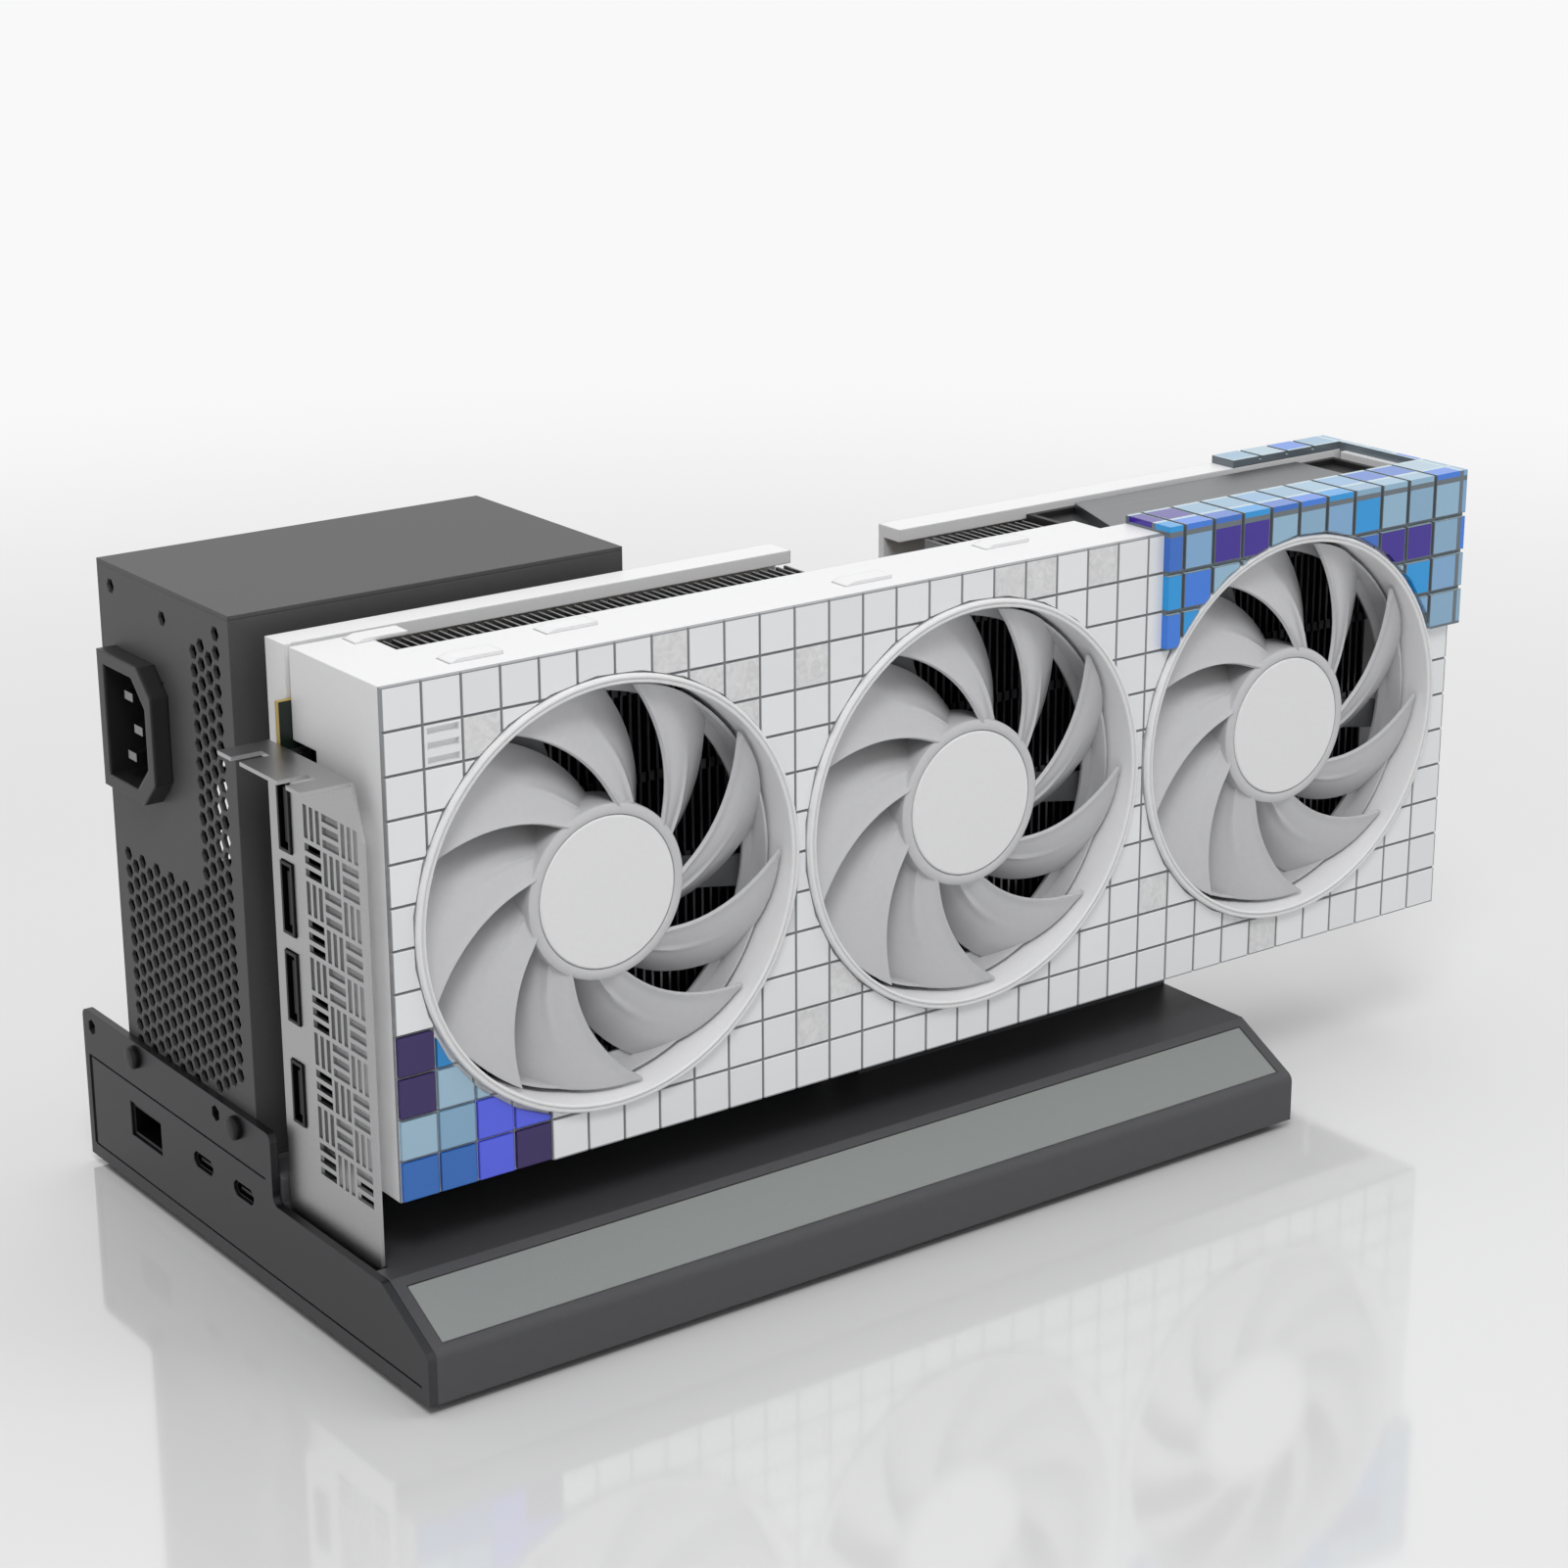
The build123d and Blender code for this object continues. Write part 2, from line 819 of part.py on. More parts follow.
def data_socket():
    """Open metal shell with a contact tongue, standing on the dock board."""
    x = (x_left + socket_recess, x_left + socket_recess + data_depth)
    y = around(data_centre_y, data_width)
    body = block(x, y, data_z)
    cavity = block((x[0] - 1, x[1] - data_wall), grown(y, -data_wall), grown(data_z, -data_wall))
    middle = (data_z[0] + data_z[1]) / 2
    tongue_x = (x[0] + data_tongue_recess, x[1])
    return body - cavity + block(tongue_x, grown(y, -2 * data_wall), around(middle, data_tongue))


def small_sockets():
    """Two flat sockets behind the end plate, each on a foot."""
    x = (x_left + socket_recess, x_left + socket_recess + small_depth)
    sockets = []
    for y, z in small_socket_centres():
        shell = pill(y, z, small_width, small_height, x)
        bore = 2 * small_wall
        shell -= pill(y, z, small_width - bore, small_height - bore, (x[0] - 1, x[1] - small_wall))
        middle = around(y, small_width - small_height)
        tongue = block((x[0] + small_wall, x[1]), middle, around(z, small_tongue))
        foot = block((x_in, x[1]), middle, (z_board, z - small_height / 2 + small_wall / 2))
        sockets.append(shell + tongue + foot)
    return joined(sockets)


def power_header():
    """Socket for the power lead, reached through the deck."""
    z = (z_board, z_board + header_height)
    body = block(header_x, header_y, z)
    pitch = header_length / header_columns
    for i in range(header_columns):
        for row in (-0.25, 0.25):
            x = around(header_x[0] + (i + 0.5) * pitch, header_cell)
            y = around((header_y[0] + header_y[1]) / 2 + row * header_width, header_cell)
            body -= block(x, y, (z[1] - header_cell_depth, z[1] + 1))
    return body


# Power supply
inlet_y = psu_y[0] + inlet_centre_y
inlet_z = psu_z[0] + inlet_centre_z


def inlet_face(width, tall, chamfer):
    """Mains inlet outline in Y and Z with its two near corners cut."""
    y = around(inlet_y, width)
    z = around(inlet_z, tall)
    return outline(
        [
            (y[0] + chamfer, z[0]),
            (y[1], z[0]),
            (y[1], z[1]),
            (y[0] + chamfer, z[1]),
            (y[0], z[1] - chamfer),
            (y[0], z[0] + chamfer),
        ]
    )


def vent_places():
    """Y and Z of the staggered vent holes: a tall strip on the near side and a field below."""
    places = []
    step = vent_hole_pitch * cos(radians(30))
    columns = int((psu_width - 2 * vent_field_edge) / step)
    for i in range(columns):
        y = vent_field_edge + vent_hole_radius + i * step
        low = vent_field_low + max(0.0, vent_field_cut - y) * 0.35
        top = vent_strip_top if y < vent_strip_width else vent_field_top
        z = low + (i % 2) * vent_hole_pitch / 2
        while z < top:
            places.append((psu_y[0] + y, psu_z[0] + z))
            z += vent_hole_pitch
    return places


def output_centres():
    """Z centres of the output sockets down the power supply's inner end."""
    middle = (psu_z[0] + psu_z[1]) / 2
    return [middle + (i - (output_count - 1) / 2) * output_pitch for i in range(output_count)]


output_y = around((psu_y[0] + psu_y[1]) / 2, output_width)


def psu_tray():
    """Folded tray of the power supply: vented inlet end, plain near side and output end."""
    far = psu_y[1] - psu_sheet
    outer = outline([(psu_x[0], psu_y[0]), (psu_x[1], psu_y[0]), (psu_x[1], far), (psu_x[0], far)])
    inner_x = grown(psu_x, -psu_sheet)
    z = grown(psu_z, -psu_sheet)
    tray = plan_prism(outer, z) - block(inner_x, (psu_y[0] + psu_sheet, psu_y[1]), grown(z, 1))
    corners = [e for e in tray.edges().filter_by(Axis.Z) if abs(e.center().Y - psu_y[0]) < 0.01]
    tray = fillet(corners, psu_bend_radius)
    wall = (psu_x[0] - 1, psu_x[0] + psu_sheet + 1)
    around_sleeve = 2 * (inlet_sleeve + inlet_fit - inlet_wall)
    opening = inlet_face(inlet_width + around_sleeve, inlet_tall + around_sleeve, inlet_chamfer)
    tray -= side_prism(opening, wall)
    hexagon = RegularPolygon(vent_hole_radius, 6)
    tray -= [side_prism(Pos(y, z) * hexagon, wall) for y, z in vent_places()]
    hole = screw_radius + screw_clearance
    top = psu_z[1] - psu_hole_inset
    places = psu_hole_places() + [(y, top) for y, _ in psu_hole_places()]
    places.append(((psu_y[0] + psu_y[1]) / 2, top))
    tray -= [stud("x", y, z, hole, wall) for y, z in places]
    far_wall = (psu_x[1] - psu_sheet - 1, psu_x[1] + 1)
    tray -= [block(far_wall, output_y, around(z, output_length)) for z in output_centres()]
    return tray


def psu_cover():
    """Folded cover of the power supply: top, underside and slotted fan side."""
    shell = block(psu_x, psu_y, psu_z)
    shell -= block(grown(psu_x, 1), (psu_y[0] - 1, psu_y[1] - psu_sheet), grown(psu_z, -psu_sheet))
    sheet_y = (psu_y[1] - psu_sheet - 1, psu_y[1] + 1)
    round_cut = stud("y", psu_fan_x, psu_fan_z, psu_fan_bore, sheet_y, round_sides)
    count = int(psu_fan_bore / grille_pitch)
    for i in range(-count, count + 1):
        z = around(psu_fan_z + i * grille_pitch, grille_slot)
        for side in (-1, 1):
            x = sorted((psu_fan_x + side * grille_bar / 2, psu_fan_x + side * psu_fan_bore))
            shell -= block(x, grown((psu_y[1] - psu_sheet, psu_y[1]), 1), z) & round_cut
    return shell


def mains_inlet():
    """Flanged mains socket with a deep recess and seats for its blades."""
    front = psu_x[0] - inlet_proud
    body = side_prism(inlet_face(inlet_width, inlet_tall, inlet_chamfer), (front, psu_x[0]))
    wide = inlet_width - 2 * inlet_wall
    tall = inlet_tall - 2 * inlet_wall
    sleeve = inlet_face(wide + 2 * inlet_sleeve, tall + 2 * inlet_sleeve, inlet_chamfer)
    body += side_prism(sleeve, (psu_x[0], psu_x[0] + inlet_body_depth))
    recess = inlet_face(wide, tall, inlet_chamfer)
    body -= side_prism(recess, (front - 1, psu_x[0] + inlet_body_depth - inlet_floor))
    return body - inlet_pin_bars(pin_fit)


def inlet_pin_bars(extra):
    """The three contact blades, grown by a small extra for their seats."""
    x = (psu_x[0] - inlet_proud + pin_recess, psu_x[0] + inlet_body_depth + pin_tail)
    places = [(pin_offset / 2, pin_spacing), (pin_offset / 2, -pin_spacing), (-pin_offset / 2, 0)]
    bars = []
    for y, z in places:
        wide = around(inlet_y + y, pin_breadth + 2 * extra)
        thick = around(inlet_z + z, pin_thickness + 2 * extra)
        bars.append(block(x, wide, thick))
    return bars


def inlet_pins():
    """Three contact blades standing in the inlet."""
    return joined(inlet_pin_bars(0))


def psu_fan_frame():
    """Square fan frame with a motor seat on four arms and a shaft."""
    body = block(psu_fan_span, psu_fan_y, around(psu_fan_z, psu_fan_size))
    body -= stud("y", psu_fan_x, psu_fan_z, psu_fan_bore, grown(psu_fan_y, 1), round_sides)
    seat = (psu_fan_y[0], psu_fan_y[0] + mount_thickness)
    body += stud("y", psu_fan_x, psu_fan_z, psu_fan_hub, seat, 8)
    for angle in (45, 135, 225, 315):
        arm = Pos(0, 0, psu_fan_bore / 2) * Box(arm_width / 2, mount_thickness, psu_fan_bore)
        body += Pos(psu_fan_x, (seat[0] + seat[1]) / 2, psu_fan_z) * Rot(0, angle, 0) * arm
    return body + rod("y", psu_fan_x, psu_fan_z, shaft_radius, (seat[1], psu_fan_y[1] - 2 * hub_wall))


def psu_fan_rotor():
    """Hub with flat leaning paddles."""
    y = (psu_fan_y[0] + mount_thickness + hub_back_gap, psu_fan_y[1] - hub_wall)
    bore = rod("y", 0, 0, shaft_radius + shaft_clearance, (y[0] - 1, y[1] - hub_wall / 2))
    hub = stud("y", 0, 0, psu_fan_hub, y, 3 * psu_fan_blades) - bore
    root = psu_fan_hub - hub_wall / 2
    tip = psu_fan_bore * cos(radians(180 / round_sides)) - psu_tip_gap
    deep = y[1] - y[0] - 1
    pitch = 360 / psu_fan_blades
    paddle = Rot(40, 0, 0) * Box(tip - root, blade_thickness, deep * 1.35)
    paddle = Pos((root + tip) / 2, (y[0] + y[1]) / 2, 0) * paddle
    paddle = paddle & stud("y", 0, 0, tip, grown(y, -0.2), round_sides)
    rotor = hub + [Rot(0, i * pitch, 0) * paddle for i in range(psu_fan_blades)]
    return Pos(psu_fan_x, 0, psu_fan_z) * rotor


inner_low = psu_y[0] + psu_sheet + inner_board_gap
inner_y = (inner_low, inner_low + board_thickness)
inner_x = (psu_x[0] + inner_board_front, psu_x[1] - output_depth - inner_board_margin)
inner_z = grown(psu_z, -inner_board_margin)


def inner_post_places():
    """X and Z of the posts behind the power supply's board."""
    inset = 2 * inner_post_radius
    return [(x, z) for x in grown(inner_x, -inset) for z in grown(inner_z, -inset)]


def psu_board():
    """Upright board inside the power supply."""
    return block(inner_x, inner_y, inner_z)


def psu_board_posts():
    """Posts between the tray and the power supply's board."""
    limits = (psu_y[0] + psu_sheet, inner_y[0])
    return joined([stud("y", x, z, inner_post_radius, limits) for x, z in inner_post_places()])


def transformer():
    """Core of two limbs round a wound middle, on the power supply's board."""
    x = (inner_x[0] + inner_x[1]) / 2
    y = (inner_y[1], inner_y[1] + transformer_deep)
    tall = around(psu_fan_z, transformer_tall)
    window_x = around(x, transformer_window * transformer_length)
    core = block(around(x, transformer_length), y, tall)
    core -= block(window_x, grown(y, -transformer_yoke), grown(tall, 1))
    wound_x = grown(window_x, -transformer_gap)
    winding = block(wound_x, grown(y, -transformer_yoke), grown(tall, transformer_gap))
    return core + winding


def psu_heatsinks():
    """Two finned plates, one on each side of the transformer."""
    sinks = []
    for side in (-1, 1):
        z = psu_fan_z + side * (transformer_tall / 2 + heatsink_fin_long + heatsink_gap)
        x = around((inner_x[0] + inner_x[1]) / 2, heatsink_length)
        y = (inner_y[1], inner_y[1] + heatsink_deep)
        sink = block(x, y, around(z, heatsink_thickness))
        pitch = heatsink_deep / heatsink_fin_count
        for i in range(heatsink_fin_count):
            fin_y = (y[0] + (i + 0.6) * pitch, y[0] + (i + 1) * pitch)
            reach = sorted((z, z - side * (heatsink_fin_long + heatsink_thickness / 2)))
            sink += block(x, fin_y, reach)
        sinks.append(sink)
    return joined(sinks)


def capacitors():
    """Three round cans near the lower end of the power supply's board."""
    z = inner_z[0] + capacitor_radius + 2
    start = (inner_x[0] + inner_x[1]) / 2 - capacitor_spacing
    limits = (inner_y[1], inner_y[1] + capacitor_deep)
    places = [start + i * capacitor_spacing for i in range(3)]
    return joined([stud("y", x, z, capacitor_radius, limits, 8) for x in places])


def output_sockets():
    """Row of open sockets through the output end."""
    x = (psu_x[1] - output_depth, psu_x[1] + output_proud)
    sockets = []
    for z in output_centres():
        limits = around(z, output_length - 2 * socket_clearance)
        wide = grown(output_y, -socket_clearance)
        socket = block(x, wide, limits)
        cavity_x = (x[0] + 3 * output_wall, x[1] + 1)
        sockets.append(socket - block(cavity_x, grown(wide, -output_wall), grown(limits, -output_wall)))
    return joined(sockets)


def psu_screws():
    """Screws through the end plate into the power supply."""
    return screws("x", psu_hole_places(), x_left, 1)


# Card
def card_board():
    """Card's circuit board with its keyed edge, cut up clear of the raised block."""
    x = (bracket_x[1] + port_clearance, bracket_x[1] + port_clearance + card_board_length)
    y = (board_face, board_back_face)
    board = block(x, y, (z_edge, z_edge + card_board_height))
    finger = block(grown(slot_x, -slot_end_wall - finger_end_gap), y, (z_edge - finger_depth, z_edge))
    key_x = around(slot_x[0] + slot_key_offset, slot_key_width + 2 * finger_key_gap)
    key = block(key_x, grown(y, 1), (z_edge - finger_depth - 1, z_edge))
    lifted = block((block_left - edge_lift, x[1] + 1), grown(y, 1), (z_edge - 1, z_deck + edge_lift))
    return board - lifted + finger - key


def edge_contacts():
    """Plated strips on both faces of the card's edge."""
    low = z_edge - finger_depth + contact_edge
    key = slot_x[0] + slot_key_offset
    gap = slot_key_width / 2 + finger_key_gap + contact_edge
    ends = grown(slot_x, -slot_end_wall - finger_end_gap - contact_edge)
    front = (board_face - contact_thickness, board_face)
    back = (board_back_face, board_back_face + contact_thickness)
    strips = []
    for x in ((ends[0], key - gap), (key + gap, ends[1])):
        for y in (front, back):
            strips.append(block(x, y, (low, low + contact_tall)))
    return joined(strips)


def graphics_chip():
    """Square package with a raised die."""
    step = board_face - chip_thickness / 2
    base = block(around(chip_x, chip_size), (step, board_face), around(chip_z, chip_size))
    die_size = chip_die_share * chip_size
    return base + block(around(chip_x, die_size), (chip_face, step), around(chip_z, die_size))


def memory_chips():
    """Memory packages below and on both sides of the graphics chip."""
    reach = chip_size / 2 + memory_gap + memory_width / 2
    y = (board_face - memory_thickness, board_face)
    chips = []
    for i in (-1, 1):
        along = i * (memory_length + memory_gap) / 2
        below = around(chip_z - reach, memory_width)
        chips.append(block(around(chip_x + along, memory_length), y, below))
        for side in (-1, 1):
            beside = around(chip_x + side * reach, memory_width)
            chips.append(block(beside, y, around(chip_z + along, memory_length)))
    return joined(chips)


def card_power_socket():
    """Two-celled power socket on the board's top edge, under the gap in the rail."""
    middle = (rail_gap[0] + rail_gap[1]) / 2
    y = (board_face - socket_depth, board_face)
    body = block(around(middle, socket_length), y, (socket_low, socket_top))
    reach = socket_length / 2 - socket_wall
    for side in (-1, 1):
        cell = sorted((middle + side * socket_wall / 2, middle + side * reach))
        body -= block(cell, grown(y, -socket_wall), (socket_low + 3 * socket_wall, socket_top + 1))
    return body


def pipe_places():
    """Z of each heat pipe, spread about the fans' height."""
    return [fan_z + (i - (pipe_count - 1) / 2) * pipe_pitch for i in range(pipe_count)]


pipe_y = fin_rear + pipe_radius + pipe_clearance


def cold_plate():
    """Plate between the heat pipes and the graphics chip."""
    front = pipe_y + pipe_radius
    return block(around(chip_x, cold_plate_size), (front, chip_face), around(chip_z, cold_plate_size))


def heat_pipes():
    """Straight pipes along the back of the fins."""
    limits = grown(card_x, -pipe_end_gap)
    return joined([stud("x", pipe_y, z, pipe_radius, limits, 8) for z in pipe_places()])


def fin_comb(first, last, rear, z):
    """Fins from one count to another, joined along their back."""
    points = []
    for i in range(first, last):
        left = card_x[0] + fin_end_gap + i * fin_pitch
        right = left + fin_thickness
        valley = rear - fin_back
        points += [(left, valley), (left, fin_front), (right, fin_front), (right, valley)]
    points[0] = (points[0][0], rear)
    points[-1] = (points[-1][0], rear)
    return plan_prism(outline(points), z)


def fins_before(x):
    """Number of whole fins to the left of an X."""
    return int((x - card_x[0] - fin_end_gap - fin_thickness) / fin_pitch) + 1


def heatsink_fins():
    """Fin stack between the fans and the pipes, with taller crests where the top is open."""
    z = (card_z[0] + fin_low_gap, card_z[1] - fin_high_gap)
    fins = fin_comb(0, fins_before(card_x[1] - fin_end_gap), fin_rear, z)
    crest_z = (card_z[1] - fin_crest_gap - fin_crest_tall, card_z[1] - fin_crest_gap)
    crest_rear = board_face - fin_crest_back_gap
    fins += fin_comb(0, fins_before(rail_gap[0] - fin_crest_end_gap), crest_rear, crest_z)
    after_gap = fins_before(rail_gap[1] + fin_crest_end_gap + fin_thickness)
    return fins + fin_comb(after_gap, fins_before(frame_left - fin_crest_end_gap), crest_rear, crest_z)


def fan_ring(x, radius, y):
    """Many-sided bar along a fan's axis."""
    return stud("y", x, fan_z, radius, y, rim_sides)


def fan_cutout(x, clearance, y):
    """Many-sided bar just clear of a fan rim, for the thin faces that end at it."""
    sides = 3 * blade_count
    return stud("y", x, fan_z, (rim_radius + clearance) / cos(radians(180 / sides)), y, sides)


def shroud():
    """Moulded front of the card: face, ends, top strip, and three ducts with proud rims."""
    y = (face_back, board_face - 0.2)
    body = block(card_x, y, card_z)
    inside_z = (card_z[0] - 1, card_z[1] - shroud_wall)
    body -= block(grown(card_x, -shroud_wall), (wall_back, y[1] + 1), inside_z)
    lip = block(card_x, (face_back, face_back + shroud_bottom_lip), (card_z[0], card_z[0] + shroud_wall))
    body += lip
    top = (card_z[1] - shroud_wall - 1, card_z[1] + 1)
    strip_back = face_back + top_strip_depth
    body -= block((card_x[0] + top_block_length, frame_left), (strip_back, y[1] + 1), top)
    bar_space = (top[0] - bar_frame_height, top[1])
    body -= block((frame_left, card_x[1] - shroud_wall), (narrow_back, y[1] + 1), bar_space)
    window_z = (card_z[0] + side_window_low, card_z[0] + side_window_low + side_window_height)
    window_x = (card_x[0] - 1, card_x[0] + shroud_wall + 1)
    body -= block(window_x, (y[1] - side_window_depth, y[1] + 1), window_z)
    for x in fan_centres.values():
        body += fan_ring(x, rim_radius, (card_y[0] - rim_proud, duct_back))
    for x in fan_centres.values():
        body -= fan_ring(x, fan_opening / 2, (card_y[0] - rim_proud - 1, duct_back + 1))
    return body


def tile_face():
    """Sheet of square tiles with grooved joints, open round the fans, with a pocket and a louvre."""
    y = (card_y[0], face_back)
    plate = block(card_x, y, card_z)
    plate -= [fan_cutout(x, rim_clearance, grown(y, 1)) for x in fan_centres.values()]
    half = joint_width / 2
    deep = card_y[0] + joint_depth
    out = card_y[0] - joint_depth
    columns = []
    for i in range(1, tile_columns):
        x = card_x[0] + i * tile_width
        groove = outline([(x - 2 * half, out), (x + 2 * half, out), (x, deep)])
        columns.append(plan_prism(groove, (card_z[0], cap_low if x > cap_left else card_z[1])))
    plate -= columns
    rows = []
    for i in range(1, tile_rows):
        z = card_z[0] + i * tile_tall
        groove = outline([(out, z - 2 * half), (out, z + 2 * half), (deep, z)])
        rows.append(side_prism(groove, (card_x[0], cap_left if z > cap_low else card_x[1])))
    plate -= rows
    pocket_x = (card_x[0] - 1, card_x[0] + accent_columns * tile_width)
    pocket_z = (card_z[0] - 1, card_z[0] + accent_rows * tile_tall)
    plate -= block(pocket_x, (card_y[0] - 1, card_y[0] + accent_pocket), pocket_z)
    louvre_left = card_x[0] + louvre_column * tile_width
    bar_x = grown((louvre_left, louvre_left + tile_width), -joint_width)
    bar_top = card_z[1] - louvre_row * tile_tall
    pitch = tile_tall / louvre_bars
    for i in range(louvre_bars):
        z = bar_top - (i + 0.5) * pitch
        plate -= block(bar_x, (card_y[0] - 1, card_y[0] + 2 * joint_depth), around(z, pitch / 2))
    return plate


def accent_tiles():
    """Loose tiles in the pocket at the lower corner, cut clear of the fan's rim."""
    y = (card_y[0], card_y[0] + accent_pocket)
    rim = fan_cutout(fan_centres["left"], rim_clearance + accent_gap, grown(y, 1))
    tiles = []
    for i in range(accent_columns):
        for j in range(accent_rows):
            x = around(card_x[0] + (i + 0.5) * tile_width, tile_width - accent_gap)
            z = around(card_z[0] + (j + 0.5) * tile_tall, tile_tall - accent_gap)
            tile = block(x, y, z) - rim
            tiles += [s for s in tile.solids() if s.volume > accent_gap]
    return joined(tiles)


def corner_cap():
    """Clear cap round the far top corner, scored into squares."""
    outer_x = (cap_left, card_x[1] + cap_wall)
    outer_y = (card_y[0] - cap_wall, card_y[1])
    top = card_z[1] + cap_wall
    low_right = card_z[1] - cap_rows_right * tile_tall
    back_x = (card_x[1] - cap_back_columns * tile_width, outer_x[1])
    front = block(outer_x, (outer_y[0], card_y[0]), (cap_low, top))
    front += block((fan_centres["right"], outer_x[1]), (outer_y[0], card_y[0]), (low_right, top))
    front += block(outer_x, (outer_y[0], narrow_back), (card_z[1], top))
    front += block(back_x, (rail_front, outer_y[1]), (card_z[1], top))
    front += block((card_x[1], outer_x[1]), outer_y, (low_right, top))
    front -= fan_cutout(fan_centres["right"], cap_fan_clearance, (outer_y[0] - 1, card_y[0] + 1))
    half = cap_groove_width / 2
    grooves = []
    for i in range(1, int(cap_columns) + 1):
        x = (card_x[1] - i * tile_width - half, card_x[1] - i * tile_width + half)
        grooves.append(block(x, (outer_y[0] - 1, outer_y[0] + cap_groove_depth), (low_right - 1, top + 1)))
        grooves.append(block(x, (outer_y[0] - 1, narrow_back + 1), (top - cap_groove_depth, top + 1)))
        if i < cap_back_columns:
            grooves.append(block(x, (rail_front - 1, outer_y[1] + 1), (top - cap_groove_depth, top + 1)))
    for j in range(1, cap_rows_right):
        z = (card_z[1] - j * tile_tall - half, card_z[1] - j * tile_tall + half)
        grooves.append(block(grown(outer_x, 1), (outer_y[0] - 1, outer_y[0] + cap_groove_depth), z))
    return front - grooves


frame_x = (bar_left - bar_frame_lead, card_x[1] - shroud_wall - bar_fit)
frame_y = (narrow_back + bar_fit, rail_front - bar_fit)
frame_z = (card_z[1] - fin_high_gap, card_z[1] - fin_high_gap + bar_frame_height)


def top_bar_frame():
    """Shallow tray on the fins that the top bar lies in."""
    seat_z = (frame_z[1] - bar_margin, frame_z[1] + 1)
    seat = block(grown(frame_x, -bar_margin), grown(frame_y, -bar_margin), seat_z)
    return block(frame_x, frame_y, frame_z) - seat


def top_bar():
    """Grey bar with a slanted end."""
    z = (frame_z[1] - bar_margin, frame_z[1] - bar_margin + bar_height)
    y = grown(frame_y, -bar_margin - bar_fit)
    right = bar_left + bar_length
    face = outline([(bar_left, y[0]), (right, y[0]), (right, y[1]), (bar_left + bar_slant, y[1])])
    return plan_prism(face, z)


# Card fans
fan_front = card_y[0] + fan_recess
hub_y = (fan_front, fan_front + hub_length)
tip_radius = fan_opening / 2 - blade_gap


def fan_blade():
    """One blade about the Y axis: a creased sheet that leans forward, cut to a swept outline."""
    root = hub_radius - hub_wall
    shares = [i / (blade_stations - 1) for i in range(blade_stations)]
    spots = [(root + share * (tip_radius - root), blade_sweep * share) for share in shares]
    spots.append((tip_radius, blade_sweep - blade_angle / 2))
    spots += [(radius, turn - blade_angle) for radius, turn in reversed(spots[:-1])]
    points = [(radius * cos(radians(turn)), radius * sin(radians(turn))) for radius, turn in spots]
    middle = (hub_y[0] + hub_y[1]) / 2
    front, rear = middle - blade_depth / 2, middle + blade_depth / 2
    low = min(z for _, z in points)
    high = max(z for _, z in points)
    knee = (rear - blade_knee * blade_depth - blade_camber, low + blade_knee * (high - low))
    near = [(rear, low), knee, (front, high)]
    far = [(y + blade_thickness, z) for y, z in reversed(near)]
    sheet = side_prism(outline(near + far), (0, tip_radius))
    return front_prism(outline(points), grown((front, rear), blade_depth)) & sheet


def fan_rotor(x):
    """Hub with swept, leaning blades, turned about Y through a fan centre."""
    hub = stud("y", 0, 0, hub_radius, hub_y, 2 * blade_count)
    hub -= rod("y", 0, 0, shaft_radius + shaft_clearance, (hub_y[0] + 2 * hub_wall, hub_y[1] + 1))
    step = 360 / blade_count
    rotor = hub + [Rot(0, i * step, 0) * fan_blade() for i in range(blade_count)]
    return Pos(x, 0, fan_z) * rotor


def fan_mount(x):
    """Motor seat with its shaft and three arms, fixed across the back of a duct."""
    limits = (duct_back, mount_back)
    seat = stud("y", 0, 0, mount_radius, limits, 12)
    reach = rim_radius - rim_width / 2 - mount_radius / 2
    for angle in arm_angles:
        out = Pos((mount_radius + reach) / 2, (limits[0] + limits[1]) / 2, 0)
        seat += Rot(0, angle, 0) * out * Box(reach, mount_thickness, arm_width)
    shaft = rod("y", 0, 0, shaft_radius, (hub_y[0] + 3 * hub_wall, limits[0]))
    return Pos(x, 0, fan_z) * (seat + shaft)


# Back plate and bracket
def back_screw_places():
    """X and Z of the screws between the back plate and the board."""
    x = (bracket_x[1] + port_clearance, bracket_x[1] + port_clearance + card_board_length)
    pitch = (x[1] - x[0] - 2 * back_screw_inset) / (back_screw_columns - 1)
    rows = (card_z[0] + back_screw_inset, z_edge + card_board_height - back_screw_inset)
    return [(x[0] + back_screw_inset + i * pitch, z) for i in range(back_screw_columns) for z in rows]


def back_plate():
    """Folded back of the card with a top rail, a gap for the power lead and vent slots."""
    y = (card_y[1] - back_thickness, card_y[1])
    plate = block(card_x, y, card_z)
    plate += block(card_x, (rail_front, card_y[1]), (card_z[1] - rail_height, card_z[1]))
    for x in ((card_x[0], card_x[0] + back_return), (card_x[1] - back_return, card_x[1])):
        plate += block(x, (board_back_face + port_clearance, card_y[1]), card_z)
    plate -= block(rail_gap, (rail_front - 1, card_y[1] + 1), (card_z[1] - rail_gap_drop, card_z[1] + 1))
    for i in range(back_slot_count):
        x = card_x[1] - back_slot_inset - i * back_slot_pitch
        plate -= block(around(x, back_slot_width), grown(y, 1), around(fan_z, back_slot_length))
    hole = screw_radius + screw_clearance
    return plate - [stud("y", x, z, hole, grown(y, 1)) for x, z in back_screw_places()]


def back_screws():
    """Flush screws whose collars space the back plate from the board."""
    inner = card_y[1] - back_thickness
    group = []
    for x, z in back_screw_places():
        shank = stud("y", x, z, screw_radius, (inner, card_y[1]))
        group.append(shank + stud("y", x, z, screw_head_radius, (board_back_face, inner)))
    return joined(group)


def port_places():
    """Z centre and height of each socket on the bracket."""
    display = [(z_edge + height, display_tall) for height in display_heights]
    return display + [(z_edge + video_height, video_tall)]


